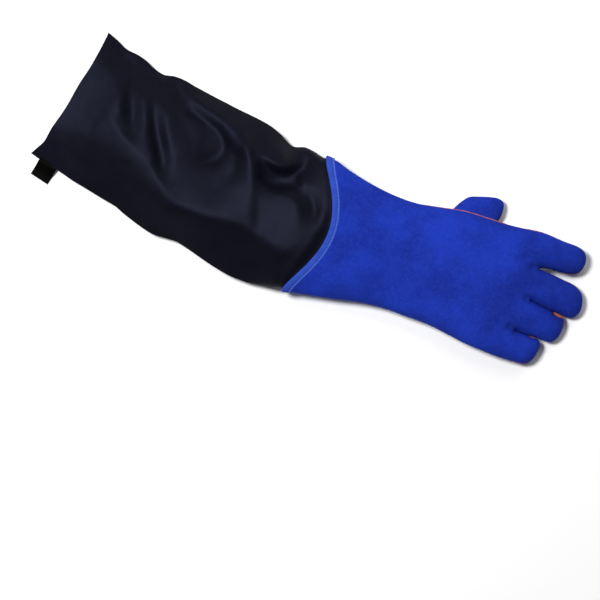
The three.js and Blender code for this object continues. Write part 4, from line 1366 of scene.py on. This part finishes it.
tab_line = smooth_run(TAB_MIDDLE_LINE, 0.8)
ahead = np.gradient(tab_line, axis=0)
ahead /= np.linalg.norm(ahead, axis=1, keepdims=True)
above = np.column_stack([-ahead[:, 1], ahead[:, 0]])
half_gap = 0.14 + 0.22 * np.sin(np.linspace(0, math.pi, len(tab_line)))[:, None]
fold_angles = np.linspace(math.pi / 2, -math.pi / 2, 9)
fold_end = tab_line[-1] + np.array([(math.cos(a) * 1.3, math.sin(a) * 1.3) for a in fold_angles])
to_outside, to_inside = above * (LAYER + half_gap), above * half_gap
outer = np.concatenate([tab_line + to_outside, fold_end[1:-1], (tab_line - to_outside)[::-1]])
inner = np.concatenate([tab_line - to_inside, [tab_line[-1] + (0.25, 0)], (tab_line + to_inside)[::-1]])
tab_section = np.concatenate([outer, inner])
root = sleeve_point(np.array([TAB_STATION * SLEEVE_LENGTH]), np.array([-1.0]), np.array([1.0]))[0]
across = np.linspace(-TAB_WIDTH / 2, TAB_WIDTH / 2, 17)
tab_points = []
for x in across:
    edge_drop = 0.18 * max(0, abs(x) - TAB_WIDTH / 2 + 1.5)
    ring_points = np.column_stack([np.full(len(tab_section), x), -tab_section[:, 0], tab_section[:, 1]])
    ring_points[:, 2] = np.maximum(ring_points[:, 2] - edge_drop, 0.05)
    tab_points.append(turned(ring_points, TAB_TURN) + (root[0], root[1], 0))
tab_size = len(tab_section)
tab_faces = [
    (
        i * tab_size + j, i * tab_size + (j + 1) % tab_size,
        (i + 1) * tab_size + (j + 1) % tab_size, (i + 1) * tab_size + j
    )
    for i in range(len(across) - 1)
    for j in range(tab_size)
]
for end, turn_over in ((0, True), (len(across) - 1, False)):
    base, rim_count = end * tab_size, len(outer)
    for j in range(rim_count - 1):
        a, b = base + j, base + j + 1
        k = tab_size - 1 - round(j * (len(inner) - 1) / (rim_count - 1))
        m = tab_size - 1 - round((j + 1) * (len(inner) - 1) / (rim_count - 1))
        wall = (a, b, base + m, base + k) if m != k else (a, b, base + k)
        tab_faces.append(wall[::-1] if turn_over else wall)
tab = make_object("sleeve_tab_loop", place(np.concatenate(tab_points), 0), tab_faces, BLACK_TAPE)
tab_map = tab.data.uv_layers.new(name="cloth")
for loop in tab.data.loops:
    i, j = divmod(loop.vertex_index, tab_size)
    tab_map.data[loop.index].uv = (across[i] * MM, j * 0.8 * MM)
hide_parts("sleeve_tab")
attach(tab, "root")
print("tab:", len(tab_faces), "faces")

# %% [markdown]
# Stitches repeat along a line, which is what Geometry Nodes are for. The tree walks along the line in steps
# of one stitch and one gap, and puts a slender rounded thread on each step, turned the way the line runs.
# Its sizes are inputs, so the same tree sews the binding, the patch and the sleeve's hem.

# %% Stitching tree


def make_stitching():
    tree = bpy.data.node_groups.new("running stitch", "GeometryNodeTree")
    sockets = (
        ("Seam Line", "NodeSocketGeometry"), ("Stitch Length", "NodeSocketFloat"),
        ("Gap", "NodeSocketFloat"), ("Thread Radius", "NodeSocketFloat"),
        ("Thread", "NodeSocketMaterial")
    )
    for socket, kind in sockets:
        tree.interface.new_socket(socket, in_out="INPUT", socket_type=kind)
    tree.interface.new_socket("Stitches", in_out="OUTPUT", socket_type="NodeSocketGeometry")
    nodes, link = tree.nodes, tree.links.new
    inside, outside = nodes.new("NodeGroupInput"), nodes.new("NodeGroupOutput")
    line, steps = nodes.new("GeometryNodeMeshToCurve"), nodes.new("GeometryNodeResampleCurve")
    steps.mode = "LENGTH"
    pitch, half = nodes.new("ShaderNodeMath"), nodes.new("ShaderNodeMath")
    half.operation = "MULTIPLY"
    half.inputs[1].default_value = 0.5
    bead, place_beads = nodes.new("GeometryNodeMeshUVSphere"), nodes.new("GeometryNodeInstanceOnPoints")
    bead.inputs["Segments"].default_value = 8
    bead.inputs["Rings"].default_value = 5
    bead.inputs["Radius"].default_value = 1
    size, tangent = nodes.new("ShaderNodeCombineXYZ"), nodes.new("GeometryNodeInputTangent")
    align = nodes.new("FunctionNodeAlignRotationToVector")
    align.axis = "X"
    real, smooth = nodes.new("GeometryNodeRealizeInstances"), nodes.new("GeometryNodeSetShadeSmooth")
    paint = nodes.new("GeometryNodeSetMaterial")
    link(inside.outputs["Seam Line"], line.inputs["Mesh"])
    link(line.outputs["Curve"], steps.inputs["Curve"])
    link(inside.outputs["Stitch Length"], pitch.inputs[0])
    link(inside.outputs["Gap"], pitch.inputs[1])
    link(pitch.outputs["Value"], steps.inputs["Length"])
    link(inside.outputs["Stitch Length"], half.inputs[0])
    link(half.outputs["Value"], size.inputs["X"])
    link(inside.outputs["Thread Radius"], size.inputs["Y"])
    link(inside.outputs["Thread Radius"], size.inputs["Z"])
    link(tangent.outputs["Tangent"], align.inputs["Vector"])
    link(steps.outputs["Curve"], place_beads.inputs["Points"])
    link(bead.outputs["Mesh"], place_beads.inputs["Instance"])
    link(align.outputs["Rotation"], place_beads.inputs["Rotation"])
    link(size.outputs["Vector"], place_beads.inputs["Scale"])
    link(place_beads.outputs["Instances"], real.inputs["Geometry"])
    link(real.outputs["Geometry"], smooth.inputs["Geometry"])
    link(smooth.outputs["Geometry"], paint.inputs["Geometry"])
    link(inside.outputs["Thread"], paint.inputs["Material"])
    link(paint.outputs["Geometry"], outside.inputs["Stitches"])
    return tree


STITCHING = make_stitching()
print("stitching tree:", len(STITCHING.nodes), "nodes")


def sew(name, line, material, length=3.2, gap=0.9, radius=0.5):
    """Stitches along a closed line of points in metres."""
    mesh = bpy.data.meshes.new(name)
    count = len(line)
    mesh.from_pydata(line.tolist(), [(i, (i + 1) % count) for i in range(count)], [])
    made = bpy.data.objects.new(name, mesh)
    scene.collection.objects.link(made)
    sewing = made.modifiers.new("sewing", "NODES")
    sewing.node_group = STITCHING
    values = {"Stitch Length": length * MM, "Gap": gap * MM, "Thread Radius": radius * MM, "Thread": material}
    for socket in STITCHING.interface.items_tree:
        if socket.name in values:
            sewing[socket.identifier] = values[socket.name]
    shown = made.evaluated_get(bpy.context.evaluated_depsgraph_get())
    made.data = bpy.data.meshes.new_from_object(shown)
    made.modifiers.clear()
    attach(made, "root")
    print(name, "has", len(made.data.polygons), "faces")
    return made


# %% [markdown]
# Each row runs on the surface that it is sewn through: round the binding, in the patch's groove and along
# the hem. The binding's thick pale thread shows best, and the hem's thread is nearly lost in its black
# cloth.

# %% Rows of stitches
TOPSTITCH_RADIUS = 0.7
binding_line = round_the_cuff(STITCH_ALONG, STITCH_OUT, 300)
binding_line[:, 2] = np.maximum(binding_line[:, 2], TOPSTITCH_RADIUS + 0.05)
sew("binding_topstitch", place(binding_line), SKY_THREAD, 3.4, 0.5, TOPSTITCH_RADIUS)

patch_row = inner_row(PATCH_OUTLINE, PATCH_STITCH_IN)
patch_near = [np.argmin(((patch_plan - p) ** 2).sum(1)) for p in patch_row]
patch_line = np.column_stack([patch_row, patch_points[patch_near, 2] - 0.1])
sew("patch_stitches", place(patch_line), GOLD_THREAD, 2.8, 0.9, 0.42)

HEM_ROW = HEM_START + 2.2
hem_angles = np.linspace(0, 2 * math.pi, 4 * AROUND, endpoint=False)
hem_side = np.where(hem_angles <= math.pi, 1.0, -1.0)
hem_line = sleeve_point(np.full(len(hem_angles), HEM_ROW), np.cos(hem_angles), hem_side)
hem_line[:, 2] = np.maximum(hem_line[:, 2], 0.4)
hem_stitches = sew("hem_stitches", place(hem_line, 0), BLACK_THREAD, 2.6, 0.8, 0.22)
